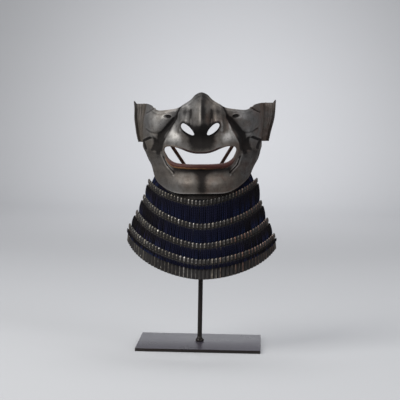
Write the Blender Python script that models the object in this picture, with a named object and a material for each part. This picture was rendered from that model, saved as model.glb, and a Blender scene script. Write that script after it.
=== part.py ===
"""Half-mask face guard of iron with a throat guard of four laced lames, on a rod stand.

Metres, +Z up. The stand's post is the Z axis, the base rests on Z = 0 and the mask looks towards -Y.
"""

import functools
import math

import bmesh
import bpy
import numpy as np
from mathutils import Matrix, Vector

QUARTER = math.radians(90)

# Clearance between pieces that touch, and how far a cutter runs past what it cuts
GAP = 0.0003
OVERCUT = 0.03

# Stand: base plate, post, and the fork that holds the mask from inside
BASE_WIDTH = 0.159
BASE_DEPTH = 0.145
BASE_THICKNESS = 0.004
POST_DIAMETER = 0.006
POST_HEIGHT = 0.1885
COLLAR_DIAMETER = 0.011
COLLAR_HEIGHT = 0.003
HUB_DIAMETER = 0.010
HUB_HEIGHT = 0.010
ARM_DIAMETER = 0.004
ARM_SPREAD = math.radians(33.1)
ARM_FORWARD = math.radians(29)
FORK_LEAN = math.radians(1.4)
FORK_OFFSET = 0.0015
PAD_DIAMETER = 0.0065
PAD_THICKNESS = 0.002
PAD_SEAT = 0.0008
ROD_SIDES = 16

# Mask: outer size, wall, how far its chin is above the post's top, and where its back edge lies
CHEEK_HALF_WIDTH = 0.075
FACE_HEIGHT = 0.127
FACE_DEPTH = 0.100
WALL = 0.0018
CHIN_ABOVE_POST = 0.0089
BACK_EDGE = 0.005
MASK_TILT = math.radians(1.5)
MASK_SHIFT = 0.004
ROUNDNESS = 2.2
FACE_COLUMNS = 38
FACE_ROWS = 26
MIDDLE_SPACING = 0.8
SMOOTH_ANGLE = math.radians(35)

# Flange under the chin that carries the lacing, and the flanges at the sides
CHIN_FLANGE_INSET = 0.0085
CHIN_FLANGE_DROP = 0.0075
CHIN_FLANGE_TURN = math.radians(80)
SIDE_FLANGE_WIDTH = 0.0155
SIDE_FLANGE_FOOT = 0.008
SIDE_RIM = 0.0025
SIDE_HORN = 0.0035
HORN_SHARPNESS = 8

# Nose, mouth, nostrils and the blind recesses beside the nose
NOSE_HALF_WIDTH = 0.028
NOSE_HEIGHT = 0.0185
MOUTH_HALF_WIDTH = 0.045
LIP_RADIUS = 0.0024
LIP_SIDES = 8
NOSTRIL_LENGTH = 0.0205
NOSTRIL_WIDTH = 0.0073
NOSTRIL_ANGLE = math.radians(43.6)
NOSTRIL_X = 0.0158
NOSTRIL_Z = 0.0820
NOSTRIL_POINTS = 16
NOSTRIL_BLUNTNESS = 0.45
RECESS_X = 0.0425
RECESS_Z = 0.0970
RECESS_WIDTH = 0.0062
RECESS_HEIGHT = 0.0042
RECESS_DEPTH = 0.0010
RECESS_POINTS = 12

# Throat guard: lames of narrow scales, laced to the mask and to each other
GUARD_TURN = math.radians(-1)
GUARD_SHIFT = 0.0012
LAME_WALL = 0.0025
LAME_CENTRE = 0.012
LAME_END = math.radians(74)
LAME_OVERLAP = 0.008
SCALE_PITCH = 0.0054
RIB_DEPTH = 0.0005
HEAD_HEIGHT = 0.0075
HEAD_NOTCH = 0.0013
LACE_THICKNESS = 0.0015
LACE_SEAT = 0.0068
TOP_LACING_SPREAD = 0.97
RISE_POWER = 0.75
HEM_RISE_POWER = 0.87
ARC_STEPS = 60

# Rims from the top down, the lames' top edges and then the lowest one's bottom edge: how much wider each
# is than the one above it, how much further forward and how far below (the first one against the chin
# flange's foot), how much its ends rise, and how much its right end stands above its middle
RIM_STEPS = {
    "lame_1": {"wider": 0.0114, "forward": 0.0043, "below": 0.0006, "rise": 0.0252, "skew": 0.0021},
    "lame_2": {"wider": 0.0057, "forward": 0.005, "below": 0.0291, "rise": 0.0299, "skew": -0.0021},
    "lame_3": {"wider": 0.0086, "forward": 0.006, "below": 0.0241, "rise": 0.0329, "skew": -0.0032},
    "lame_4": {"wider": 0.0093, "forward": 0.006, "below": 0.0196, "rise": 0.0337, "skew": -0.0044},
    "hem": {"wider": 0.0020, "forward": 0.004, "below": 0.0255, "rise": 0.0370, "skew": -0.0030},
}
LAMES = ("lame_1", "lame_2", "lame_3", "lame_4")

# Plain row of lacing on the lowest lame, as shares of the lame's height below its top edge
SHORT_ROW = {"top": 0.30, "bottom": 0.50}

# Width and depth of the mask by height, as shares of FACE_HEIGHT, CHEEK_HALF_WIDTH and FACE_DEPTH
SECTIONS = {
    "height": (0.00, 0.10, 0.20, 0.27, 0.33, 0.39, 0.46, 0.60, 0.75, 0.85, 1.00),
    "width": (0.80, 0.803, 0.807, 0.833, 0.884, 0.927, 0.977, 0.987, 1.00, 1.00, 1.00),
    "depth": (0.86, 0.87, 0.84, 0.845, 0.858, 0.87, 0.865, 0.85, 0.82, 0.78, 0.68),
}

# Top edge: height as a share of FACE_HEIGHT, by distance from the middle as a share of CHEEK_HALF_WIDTH
TOP_EDGE = {
    "across": (0.00, 0.08, 0.16, 0.26, 0.41, 0.55, 0.68, 0.80, 0.87, 1.00),
    "height": (1.00, 0.980, 0.929, 0.890, 0.846, 0.831, 0.823, 0.850, 0.877, 0.889),
}

# Jaw edge by turn from the front, as a share of a right angle: height as a share of FACE_HEIGHT, and
# the chin flange's inset and drop as shares of its own sizes
JAW_EDGE = {
    "turn": (0.00, 0.28, 0.39, 0.50, 0.61, 0.72, 0.83, 0.91, 0.97, 1.00),
    "height": (0.00, 0.00, 0.012, 0.04, 0.08, 0.126, 0.197, 0.283, 0.378, 0.457),
    "inset": (1.00, 1.00, 0.95, 0.85, 0.70, 0.50, 0.30, 0.25, 0.25, 0.25),
    "drop": (1.00, 1.00, 1.00, 0.95, 0.85, 0.70, 0.55, 0.50, 0.50, 0.50),
}

# Nose: ridge by height (shares of FACE_HEIGHT and NOSE_HEIGHT) and how far its wings show there, and
# its section with and without wings (shares of NOSE_HALF_WIDTH and of the ridge)
NOSE_RIDGE = {
    "height": (0.50, 0.56, 0.60, 0.64, 0.675, 0.75, 0.83, 0.93, 1.00),
    "ridge": (0.00, 0.10, 0.36, 0.86, 1.00, 0.95, 0.88, 0.82, 0.72),
    "wings": (1.00, 1.00, 1.00, 1.00, 1.00, 0.90, 0.45, 0.05, 0.00),
}
NOSE_SECTION = {
    "across": (0.00, 0.22, 0.41, 0.60, 0.79, 1.00, 1.15),
    "winged": (1.00, 0.72, 0.42, 0.66, 0.56, 0.10, 0.00),
    "plain": (1.00, 0.80, 0.60, 0.40, 0.22, 0.05, 0.00),
}

# Soft swellings and hollows on each side: place as shares of CHEEK_HALF_WIDTH and FACE_HEIGHT, reach
# as shares of CHEEK_HALF_WIDTH, and height as a share of FACE_DEPTH
SWELLINGS = (
    {"name": "cheekbone", "across": 0.77, "up": 0.75, "reach": (0.21, 0.23), "height": 0.052},
    {"name": "muzzle", "across": 0.40, "up": 0.545, "reach": (0.17, 0.16), "height": 0.056},
    {"name": "philtrum", "across": 0.06, "up": 0.525, "reach": (0.16, 0.11), "height": -0.034},
    {"name": "chin", "across": 0.21, "up": 0.085, "reach": (0.17, 0.12), "height": 0.034},
    {"name": "under_lip", "across": 0.10, "up": 0.205, "reach": (0.45, 0.06), "height": -0.020},
    {"name": "jaw_muscle", "across": 0.83, "up": 0.36, "reach": (0.17, 0.16), "height": 0.022},
)

# Long hollows on each side, from the nose's wing round the muzzle: points as shares of
# CHEEK_HALF_WIDTH and FACE_HEIGHT, width of CHEEK_HALF_WIDTH and depth of FACE_DEPTH
FURROWS = (
    {"name": "cheek_furrow", "width": 0.070, "depth": 0.054,
     "path": ((0.46, 0.75), (0.58, 0.68), (0.69, 0.60), (0.77, 0.50))},
    {"name": "smile_furrow", "width": 0.050, "depth": 0.018,
     "path": ((0.69, 0.46), (0.70, 0.36), (0.60, 0.27), (0.50, 0.20))},
)

# Mouth, right half from the middle of the upper lip round the corner to the middle of the lower lip:
# shares of MOUTH_HALF_WIDTH and FACE_HEIGHT, and the lip's thickness as a share of LIP_RADIUS
MOUTH = {
    "across": (0.00, 0.18, 0.36, 0.53, 0.71, 0.87, 0.97, 1.00, 0.965, 0.90, 0.78, 0.64, 0.44, 0.22, 0.00),
    "height": (0.405, 0.408, 0.425, 0.451, 0.472, 0.475, 0.461, 0.429, 0.390, 0.350, 0.319, 0.302,
               0.296, 0.293, 0.293),
    "lip": (0.55, 0.55, 0.55, 0.55, 0.50, 0.45, 0.45, 0.50, 0.60, 0.75, 0.90, 1.00, 1.00, 1.00, 1.00),
}

# Finishes: colour, metallic and roughness
FINISHES = {
    "iron": ((0.060, 0.055, 0.050), 0.85, 0.42),
    "scale_lacquer": ((0.045, 0.038, 0.032), 0.30, 0.45),
    "indigo_lace": ((0.008, 0.011, 0.030), 0.00, 0.80),
    "stand_steel": ((0.028, 0.026, 0.026), 0.70, 0.45),
}


def smooth_through(table, key, value, at):
    """Value of a table's column at a place along its key column, on a curve without overshoot."""
    keys = np.array(table[key])
    values = np.array(table[value])
    steps = np.diff(keys)
    slopes = np.diff(values) / steps
    tangents = np.zeros(len(keys))
    rising = slopes[:-1] * slopes[1:] > 0
    means = 2 * slopes[:-1] * slopes[1:] / np.where(rising, slopes[:-1] + slopes[1:], 1)
    tangents[1:-1] = np.where(rising, means, 0)
    at = min(max(at, keys[0]), keys[-1])
    span = min(int(np.searchsorted(keys, at, side="right")) - 1, len(steps) - 1)
    t = (at - keys[span]) / steps[span]
    ends = (2 * t**3 - 3 * t**2 + 1) * values[span] + (3 * t**2 - 2 * t**3) * values[span + 1]
    leans = (t**3 - 2 * t**2 + t) * tangents[span] + (t**3 - t**2) * tangents[span + 1]
    return float(ends + steps[span] * leans)


def half_width(z):
    return CHEEK_HALF_WIDTH * smooth_through(SECTIONS, "height", "width", z / FACE_HEIGHT)


def middle_depth(z):
    return FACE_DEPTH * smooth_through(SECTIONS, "height", "depth", z / FACE_HEIGHT)


def top_edge(turn):
    return FACE_HEIGHT * smooth_through(TOP_EDGE, "across", "height", abs(math.sin(turn)))


def jaw(turn, column):
    return smooth_through(JAW_EDGE, "turn", column, abs(turn) / QUARTER)


def distance_to_path(x, z, path):
    """Distance from a point to a furrow's path, all in shares of CHEEK_HALF_WIDTH."""
    best = math.inf
    spot = Vector((x, z))
    for start, end in zip(path, path[1:]):
        start = Vector((start[0], start[1] * FACE_HEIGHT / CHEEK_HALF_WIDTH))
        run = Vector((end[0], end[1] * FACE_HEIGHT / CHEEK_HALF_WIDTH)) - start
        along = min(max((spot - start).dot(run) / run.length_squared, 0), 1)
        best = min(best, (spot - start - run * along).length)
    return best


def relief(x, z):
    """Height of the nose, the swellings and the furrows above the mask's plain form."""
    across = abs(x) / CHEEK_HALF_WIDTH
    up = z / FACE_HEIGHT
    ridge = NOSE_HEIGHT * smooth_through(NOSE_RIDGE, "height", "ridge", up)
    wings = smooth_through(NOSE_RIDGE, "height", "wings", up)
    winged = smooth_through(NOSE_SECTION, "across", "winged", abs(x) / NOSE_HALF_WIDTH)
    plain = smooth_through(NOSE_SECTION, "across", "plain", abs(x) / NOSE_HALF_WIDTH)
    height = ridge * (plain + (winged - plain) * wings)
    for swelling in SWELLINGS:
        aside = (across - swelling["across"]) / swelling["reach"][0]
        above = (up - swelling["up"]) * FACE_HEIGHT / CHEEK_HALF_WIDTH / swelling["reach"][1]
        height += FACE_DEPTH * swelling["height"] * math.exp(-aside**2 - above**2)
    for furrow in FURROWS:
        away = distance_to_path(across, up * FACE_HEIGHT / CHEEK_HALF_WIDTH, furrow["path"]) / furrow["width"]
        height -= FACE_DEPTH * furrow["depth"] * math.exp(-away**2)
    return height


def skin(turn, z):
    """Point of the mask's outer skin, in the mask's frame: turn from the front, height above the chin."""
    side = math.sin(turn)
    x = half_width(z) * side
    depth = middle_depth(z) * max(1 - abs(side) ** ROUNDNESS, 0) ** (1 / ROUNDNESS)
    proud = relief(x, z)
    return Vector((x + proud * side, BACK_EDGE - depth - proud * math.cos(turn), z))


def skin_at(x, z):
    """Point of the outer skin seen from the front at x, z."""
    return skin(math.asin(min(max(x / half_width(z), -1), 1)), z)


def chin_flange(turn, share):
    """Point of the chin flange's outer face: share 0 at its root under the jaw edge, 1 at its foot."""
    root = skin(turn, FACE_HEIGHT * jaw(turn, "height"))
    inward = Vector((-math.sin(turn), math.cos(turn), 0))
    return root + inward * CHIN_FLANGE_INSET * jaw(turn, "inset") - Vector(
        (0, 0, share * CHIN_FLANGE_DROP * jaw(turn, "drop"))
    )


def finish_material(name):
    if name in bpy.data.materials:
        return bpy.data.materials[name]
    colour, metallic, roughness = FINISHES[name]
    material = bpy.data.materials.new(name)
    material.use_nodes = True
    shader = material.node_tree.nodes["Principled BSDF"]
    shader.inputs["Base Color"].default_value = (*colour, 1)
    shader.inputs["Metallic"].default_value = metallic
    shader.inputs["Roughness"].default_value = roughness
    return material


def add_object(name, bm, finish, parent=None):
    """Make an object of a bmesh, with its finish, under a parent frame."""
    mesh = bpy.data.meshes.new(name)
    bm.to_mesh(mesh)
    bm.free()
    mesh.shade_smooth()
    mesh.set_sharp_from_angle(angle=SMOOTH_ANGLE)
    made = bpy.data.objects.new(name, mesh)
    bpy.context.collection.objects.link(made)
    material = finish_material(finish).copy()
    material.name = name + "_finish"
    mesh.materials.append(material)
    made.parent = parent
    return made


def as_helper(helper):
    helper.hide_render = True
    helper.display_type = "WIRE"
    return helper


def join_or_cut(target, helper, operation):
    """Add an exact Boolean to the target, with a helper that isn't part of the model."""
    boolean = target.modifiers.new(helper.name, "BOOLEAN")
    boolean.operation = operation
    boolean.solver = "EXACT"
    boolean.object = as_helper(helper)


def add_frame(name, matrix):
    frame = bpy.data.objects.new(name, None)
    frame.matrix_world = matrix
    bpy.context.collection.objects.link(frame)
    return frame


def prism(outline, front, back):
    """Closed prism through an outline of (x, z) points, from y = front to y = back."""
    bm = bmesh.new()
    face = bm.faces.new([bm.verts.new((x, front, z)) for x, z in outline])
    grown = bmesh.ops.extrude_face_region(bm, geom=[face])
    moved = [v for v in grown["geom"] if isinstance(v, bmesh.types.BMVert)]
    bmesh.ops.translate(bm, verts=moved, vec=(0, back - front, 0))
    bmesh.ops.recalc_face_normals(bm, faces=bm.faces)
    return bm


def rolled_grid(rings, closed):
    """Closed body through rings of points: a grid rolled up round its rings, its ends joined or capped."""
    columns = len(rings)
    points = len(rings[0])
    bm = bmesh.new()
    bmesh.ops.create_grid(bm, x_segments=columns - 1, y_segments=points - 1, size=1)
    place = {}
    for vert in bm.verts:
        column = round((vert.co.x + 1) / 2 * (columns - 1))
        point = round((vert.co.y + 1) / 2 * (points - 1))
        place[vert] = (column, point)
    for vert, (column, point) in place.items():
        vert.co = rings[column][point]
    seam = [e for e in bm.edges if all(place[v][1] == 0 for v in e.verts)]
    seam += [e for e in bm.edges if all(place[v][1] == points - 1 for v in e.verts)]
    bmesh.ops.bridge_loops(bm, edges=seam)
    ends = [e for e in bm.edges if e.is_boundary]
    if closed:
        bmesh.ops.bridge_loops(bm, edges=ends)
    else:
        bmesh.ops.holes_fill(bm, edges=ends, sides=points)
    bmesh.ops.recalc_face_normals(bm, faces=bm.faces)
    return bm


def mouth_outline():
    """Closed outline of the mouth, as points (x, z, lip radius), from the middle of the upper lip round."""
    right = [
        (MOUTH_HALF_WIDTH * across, FACE_HEIGHT * height, LIP_RADIUS * lip)
        for across, height, lip in zip(MOUTH["across"], MOUTH["height"], MOUTH["lip"])
    ]
    left = [(-x, z, radius) for x, z, radius in right[-2:0:-1]]
    return right + left


def nostril_outline(side):
    """Drop-shaped outline, blunt at its upper outer end and pointed at its lower inner end."""
    outline = []
    for n in range(NOSTRIL_POINTS):
        angle = 2 * math.pi * n / NOSTRIL_POINTS
        along = NOSTRIL_LENGTH / 2 * math.cos(angle)
        across = NOSTRIL_WIDTH / 2 * math.sin(angle) * (1 + NOSTRIL_BLUNTNESS * math.cos(angle))
        x = NOSTRIL_X + along * math.cos(NOSTRIL_ANGLE) - across * math.sin(NOSTRIL_ANGLE)
        z = NOSTRIL_Z + along * math.sin(NOSTRIL_ANGLE) + across * math.cos(NOSTRIL_ANGLE)
        outline.append((side * x, z))
    return outline


def add_face_cutters(mask_frame):
    """Cutters for the mouth, the nostrils and the two blind recesses."""
    front = BACK_EDGE - FACE_DEPTH - NOSE_HEIGHT - OVERCUT
    cutters = []
    mouth = prism([(x, z) for x, z, _ in mouth_outline()], front, BACK_EDGE)
    cutters.append(add_object("mouth_cutter", mouth, "iron", mask_frame))
    for side, label in ((-1, "left"), (1, "right")):
        nostril = prism(nostril_outline(side), front, BACK_EDGE - FACE_DEPTH / 2)
        cutters.append(add_object("nostril_cutter_" + label, nostril, "iron", mask_frame))
        spot = skin_at(side * RECESS_X, RECESS_Z)
        oval = []
        for n in range(RECESS_POINTS):
            angle = 2 * math.pi * n / RECESS_POINTS
            x = spot.x + RECESS_WIDTH / 2 * math.cos(angle)
            oval.append((x, spot.z + RECESS_HEIGHT / 2 * math.sin(angle)))
        recess = prism(oval, front, spot.y + RECESS_DEPTH)
        cutters.append(add_object("recess_cutter_" + label, recess, "iron", mask_frame))
    return cutters


def add_lip_roll(mask_frame):
    """Rolled lip round the mouth, thicker below, which the mask takes in."""
    outline = mouth_outline()
    rings = []
    for n, (x, z, radius) in enumerate(outline):
        centre = skin_at(x, z)
        ahead = outline[(n + 1) % len(outline)]
        behind = outline[n - 1]
        run = (skin_at(ahead[0], ahead[1]) - skin_at(behind[0], behind[1])).normalized()
        forward = Vector((0, -1, 0))
        aside = run.cross(forward).normalized()
        forward = aside.cross(run).normalized()
        ring = []
        for k in range(LIP_SIDES):
            angle = 2 * math.pi * (k + 0.5) / LIP_SIDES
            ring.append(centre + (aside * math.cos(angle) + forward * math.sin(angle)) * radius)
        rings.append(ring)
    return add_object("lip_roll", rolled_grid(rings, closed=True), "iron", mask_frame)


def face_sheet():
    """Outer skin of the mask as an open sheet: a grid bent to the face, with its flanges extruded."""
    bm = bmesh.new()
    bmesh.ops.create_grid(bm, x_segments=FACE_COLUMNS, y_segments=FACE_ROWS, size=1)
    turns = {}
    levels = {}
    for vert in bm.verts:
        share = vert.co.x
        turns[vert] = QUARTER * share * (MIDDLE_SPACING + (1 - MIDDLE_SPACING) * abs(share))
        levels[vert] = (vert.co.y + 1) / 2
    for vert, turn in turns.items():
        low = FACE_HEIGHT * jaw(turn, "height")
        vert.co = skin(turn, low + (top_edge(turn) - low) * levels[vert])
    for side in (-1, 1):
        add_side_flange(bm, side, turns)
    add_chin_flange(bm, turns, levels)
    bmesh.ops.recalc_face_normals(bm, faces=bm.faces)
    nose = max(bm.faces, key=lambda face: -face.calc_center_median().y)
    if nose.normal.y > 0:
        bmesh.ops.reverse_faces(bm, faces=bm.faces)
    return bm


def add_chin_flange(bm, turns, levels):
    """Extrude the jaw edge inwards and then down, from one side round the chin to the other."""
    def on_jaw(vert):
        return levels.get(vert) == 0 and abs(turns[vert]) < CHIN_FLANGE_TURN

    edges = [e for e in bm.edges if all(on_jaw(v) for v in e.verts)]
    angles = {tuple(v.co): turns[v] for v in turns if on_jaw(v)}
    for share in (0, 1):
        grown = bmesh.ops.extrude_edge_only(bm, edges=edges)
        edges = [g for g in grown["geom"] if isinstance(g, bmesh.types.BMEdge)]
        moved = [g for g in grown["geom"] if isinstance(g, bmesh.types.BMVert)]
        placed = {}
        for vert in moved:
            turn = angles[tuple(vert.co)]
            vert.co = chin_flange(turn, share)
            placed[tuple(vert.co)] = turn
        angles = placed


def add_side_flange(bm, side, turns):
    """Extrude the back edge of one cheek outwards, then out and forwards as a rim with a small horn."""
    edges = [e for e in bm.edges if all(turns.get(v, 0) == side * QUARTER for v in e.verts)]
    foot = FACE_HEIGHT * jaw(QUARTER, "height")
    top = top_edge(QUARTER)
    for step in ("web", "rim"):
        grown = bmesh.ops.extrude_edge_only(bm, edges=edges)
        edges = [g for g in grown["geom"] if isinstance(g, bmesh.types.BMEdge)]
        for vert in grown["geom"]:
            if not isinstance(vert, bmesh.types.BMVert):
                continue
            rise = min(max((vert.co.z - foot) / (top - foot), 0), 1)
            width = SIDE_FLANGE_FOOT + (SIDE_FLANGE_WIDTH - SIDE_FLANGE_FOOT) * rise
            if step == "web":
                vert.co.x += side * (width - SIDE_RIM)
            else:
                vert.co += Vector((side * SIDE_RIM, -SIDE_RIM, SIDE_HORN * rise**HORN_SHARPNESS))


def add_face_plate(mask_frame):
    """The mask: one iron plate with flanges, pierced by mouth and nostrils, with a rolled lip."""
    plate = add_object("face_plate", face_sheet(), "iron", mask_frame)
    wall = plate.modifiers.new("wall", "SOLIDIFY")
    wall.thickness = WALL
    wall.offset = -1
    wall.use_even_offset = True
    wall.use_quality_normals = True
    for cutter in add_face_cutters(mask_frame):
        join_or_cut(plate, cutter, "DIFFERENCE")
    join_or_cut(plate, add_lip_roll(mask_frame), "UNION")
    return plate


def post_top():
    return BASE_THICKNESS + GAP + POST_HEIGHT


def chin_height():
    return post_top() + CHIN_ABOVE_POST


@functools.cache
def rim(name):
    """Half width, front, height, rise, skew and swing power of a rim, from the steps down to it."""
    middle = chin_flange(0, 1)
    found = {"half_width": chin_flange(CHIN_FLANGE_TURN, 1).x, "front": -middle.y,
             "height": chin_height() + middle.z}
    for step_name, step in RIM_STEPS.items():
        found["half_width"] += step["wider"]
        found["front"] += step["forward"]
        found["height"] -= step["below"]
        if step_name == name:
            break
    power = HEM_RISE_POWER if name == "hem" else RISE_POWER
    return {**found, "rise": step["rise"], "skew": step["skew"], "power": power}


def rim_height(edge, turn):
    """Height of a rim at a turn from the front, in the throat guard's frame."""
    swing = (1 - math.cos(turn)) / (1 - math.cos(LAME_END))
    across = math.sin(turn) / math.sin(LAME_END)
    return edge["height"] + edge["rise"] * swing ** edge["power"] + edge["skew"] * across


def lame_bottom(name):
    """Bottom rim of a lame: the hem on the lowest one, else tucked inside the next lame down."""
    names = list(RIM_STEPS)
    below = names[names.index(name) + 1]
    edge = rim(below)
    if below == "hem":
        return edge
    tuck = LAME_WALL + LACE_THICKNESS + 2 * GAP
    return {**edge, "half_width": edge["half_width"] - tuck, "front": edge["front"] - tuck,
            "height": edge["height"] - LAME_OVERLAP}


def lame_point(name, turn, down, inset):
    """Point on a lame: turn from the front, share of its height below the top edge, inset from its face."""
    top = rim(name)
    bottom = lame_bottom(name)
    high = rim_height(top, turn)
    low = rim_height(bottom, turn)
    width = top["half_width"] + (bottom["half_width"] - top["half_width"]) * down - inset
    reach = LAME_CENTRE + top["front"] + (bottom["front"] - top["front"]) * down - inset
    x = width * math.sin(turn) / math.sin(LAME_END)
    return Vector((x, LAME_CENTRE - reach * math.cos(turn), high + (low - high) * down))


def lame_height(name, turn):
    return lame_point(name, turn, 0, 0).z - lame_point(name, turn, 1, 0).z


def scale_count(name):
    """Scales in a lame: the length of its top edge over the pitch."""
    turns = [LAME_END * (2 * n / ARC_STEPS - 1) for n in range(ARC_STEPS + 1)]
    points = [lame_point(name, turn, 0, 0) for turn in turns]
    length = sum((b - a).length for a, b in zip(points, points[1:]))
    return round(length / SCALE_PITCH)


def add_lame(name, guard_frame):
    """One lame: a ribbed band whose top edge is a row of scale heads."""
    columns = 2 * scale_count(name)
    rings = []
    for n in range(columns + 1):
        turn = LAME_END * (2 * n / columns - 1)
        sunk = RIB_DEPTH if n % 2 else 0
        notch = (HEAD_NOTCH if n % 2 else 0) / lame_height(name, turn)
        head = HEAD_HEIGHT / lame_height(name, turn)
        rings.append([
            lame_point(name, turn, notch, sunk + RIB_DEPTH),
            lame_point(name, turn, head, sunk),
            lame_point(name, turn, 1, sunk),
            lame_point(name, turn, 1, LAME_WALL),
            lame_point(name, turn, notch, LAME_WALL),
        ])
    return add_object(name, rolled_grid(rings, closed=False), "scale_lacquer", guard_frame)


def add_lacing(name, lame, guard_frame):
    """Lacing that hangs over a lame's face from below its heads, to the heads of the lame below."""
    columns = scale_count(lame)
    last = lame == LAMES[-1]
    rings = []
    for n in range(columns + 1):
        turn = LAME_END * (2 * n - columns) / (columns + 0.5)
        height = lame_height(lame, turn)
        start = SHORT_ROW["top"] if last else (HEAD_HEIGHT + GAP) / height
        end = SHORT_ROW["bottom"] if last else 1 - (LAME_OVERLAP - LACE_SEAT) / height
        near = -GAP
        far = -GAP - LACE_THICKNESS
        rings.append([
            lame_point(lame, turn, start, far),
            lame_point(lame, turn, end, far),
            lame_point(lame, turn, end, near),
            lame_point(lame, turn, start, near),
        ])
    return add_object(name, rolled_grid(rings, closed=False), "indigo_lace", guard_frame)


def add_top_lacing(name, mask_frame, guard_frame):
    """Lacing from the chin flange's foot down to the inside of the first lame's heads."""
    lame = LAMES[0]
    columns = scale_count(lame)
    to_guard = guard_frame.matrix_world.inverted() @ mask_frame.matrix_world
    rings = []
    for n in range(columns + 1):
        share = (2 * n / columns - 1) * TOP_LACING_SPREAD
        turn = CHIN_FLANGE_TURN * share
        end_turn = LAME_END * share
        inward = Vector((-math.sin(turn), math.cos(turn), 0))
        foot = chin_flange(turn, 1) - Vector((0, 0, GAP))
        down = LACE_SEAT / lame_height(lame, end_turn)
        near = LAME_WALL + GAP
        rings.append([
            to_guard @ foot,
            lame_point(lame, end_turn, down, near),
            lame_point(lame, end_turn, down, near + LACE_THICKNESS),
            to_guard @ (foot + inward * LACE_THICKNESS),
        ])
    return add_object(name, rolled_grid(rings, closed=False), "indigo_lace", guard_frame)


def add_base():
    bm = bmesh.new()
    bmesh.ops.create_cube(bm, size=1)
    bmesh.ops.scale(bm, verts=bm.verts, vec=(BASE_WIDTH, BASE_DEPTH, BASE_THICKNESS))
    bmesh.ops.translate(bm, verts=bm.verts, vec=(0, 0, BASE_THICKNESS / 2))
    return add_object("stand_base", bm, "stand_steel")


def add_post():
    """Post with a collar at its foot, turned from its half profile."""
    foot = BASE_THICKNESS + GAP
    profile = (
        (0, foot),
        (COLLAR_DIAMETER / 2, foot),
        (COLLAR_DIAMETER / 2, foot + COLLAR_HEIGHT / 2),
        (POST_DIAMETER / 2, foot + COLLAR_HEIGHT),
        (POST_DIAMETER / 2, post_top()),
        (0, post_top()),
    )
    bm = bmesh.new()
    verts = [bm.verts.new((radius, 0, z)) for radius, z in profile]
    edges = [bm.edges.new(pair) for pair in zip(verts, verts[1:])]
    bmesh.ops.spin(bm, geom=verts + edges, cent=(0, 0, 0), axis=(0, 0, 1), angle=math.tau,
                   steps=ROD_SIDES, use_merge=True)
    bmesh.ops.remove_doubles(bm, verts=bm.verts, dist=1e-6)
    bmesh.ops.recalc_face_normals(bm, faces=bm.faces)
    return add_object("stand_post", bm, "stand_steel")


def rod(start, end, diameter):
    """Round rod between two points."""
    run = end - start
    place = Matrix.Translation((start + end) / 2) @ run.to_track_quat("Z", "Y").to_matrix().to_4x4()
    bm = bmesh.new()
    bmesh.ops.create_cone(bm, cap_ends=True, segments=ROD_SIDES, radius1=diameter / 2,
                          radius2=diameter / 2, depth=run.length, matrix=place)
    return bm


def arm_direction(side):
    lean = ARM_SPREAD * side - FORK_LEAN
    return Vector((math.tan(lean), -math.tan(ARM_FORWARD), 1)).normalized()


def arm_end(side, crotch, plate):
    """Where an arm meets the inside of the mask, and the way the wall faces there."""
    wall = plate.evaluated_get(bpy.context.evaluated_depsgraph_get())
    to_plate = plate.matrix_world.inverted()
    _, spot, normal, _ = wall.ray_cast(to_plate @ crotch, to_plate.to_3x3() @ arm_direction(side))
    return plate.matrix_world @ spot, plate.matrix_world.to_3x3() @ normal


def add_fork(plate):
    """Fork: a hub on the post and two arms that end in flat pads against the inside of the cheeks."""
    seat = post_top() + GAP
    crotch = Vector((FORK_OFFSET, 0, seat + HUB_HEIGHT / 2))
    hub = rod(Vector((0, 0, seat)), Vector((0, 0, seat + HUB_HEIGHT)), HUB_DIAMETER)
    fork = add_object("stand_fork", hub, "stand_steel")
    for side, label in ((-1, "left"), (1, "right")):
        spot, normal = arm_end(side, crotch, plate)
        face = spot + normal * PAD_SEAT
        pad = rod(face + normal * PAD_THICKNESS, face, PAD_DIAMETER)
        arm = rod(crotch, face + normal * PAD_THICKNESS / 2, ARM_DIAMETER)
        join_or_cut(fork, add_object("arm_" + label, arm, "stand_steel"), "UNION")
        join_or_cut(fork, add_object("pad_" + label, pad, "stand_steel"), "UNION")
    return fork


def build():
    for stale in list(bpy.data.objects):
        bpy.data.objects.remove(stale)
    turned = Matrix.Translation((GUARD_SHIFT, 0, 0)) @ Matrix.Rotation(GUARD_TURN, 4, "Z")
    guard_frame = add_frame("guard_frame", turned)
    hung = Matrix.Translation((MASK_SHIFT, 0, chin_height())) @ Matrix.Rotation(GUARD_TURN, 4, "Z")
    mask_frame = add_frame("mask_frame", hung @ Matrix.Rotation(-MASK_TILT, 4, "Y"))
    bpy.context.view_layer.update()
    plate = add_face_plate(mask_frame)
    add_top_lacing("lacing_0", mask_frame, guard_frame)
    for n, lame in enumerate(LAMES, start=1):
        add_lame(lame, guard_frame)
        add_lacing("lacing_" + str(n), lame, guard_frame)
    add_base()
    add_post()
    add_fork(plate)


build()
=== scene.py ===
"""Looks of an iron face guard with a laced throat guard on its stand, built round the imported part.

Metres, +Z up. The stand's post is the Z axis, the base rests on Z = 0 and the mask looks towards -Y.
The forms follow the driving sizes and rules of the part's own source, with finer relief, scales and braids.
"""

import functools
import math
import random

import bmesh
import bpy
import numpy as np
from bpy.props import FloatProperty, FloatVectorProperty, PointerProperty
from mathutils import Matrix, Vector
from mathutils.bvhtree import BVHTree


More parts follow.
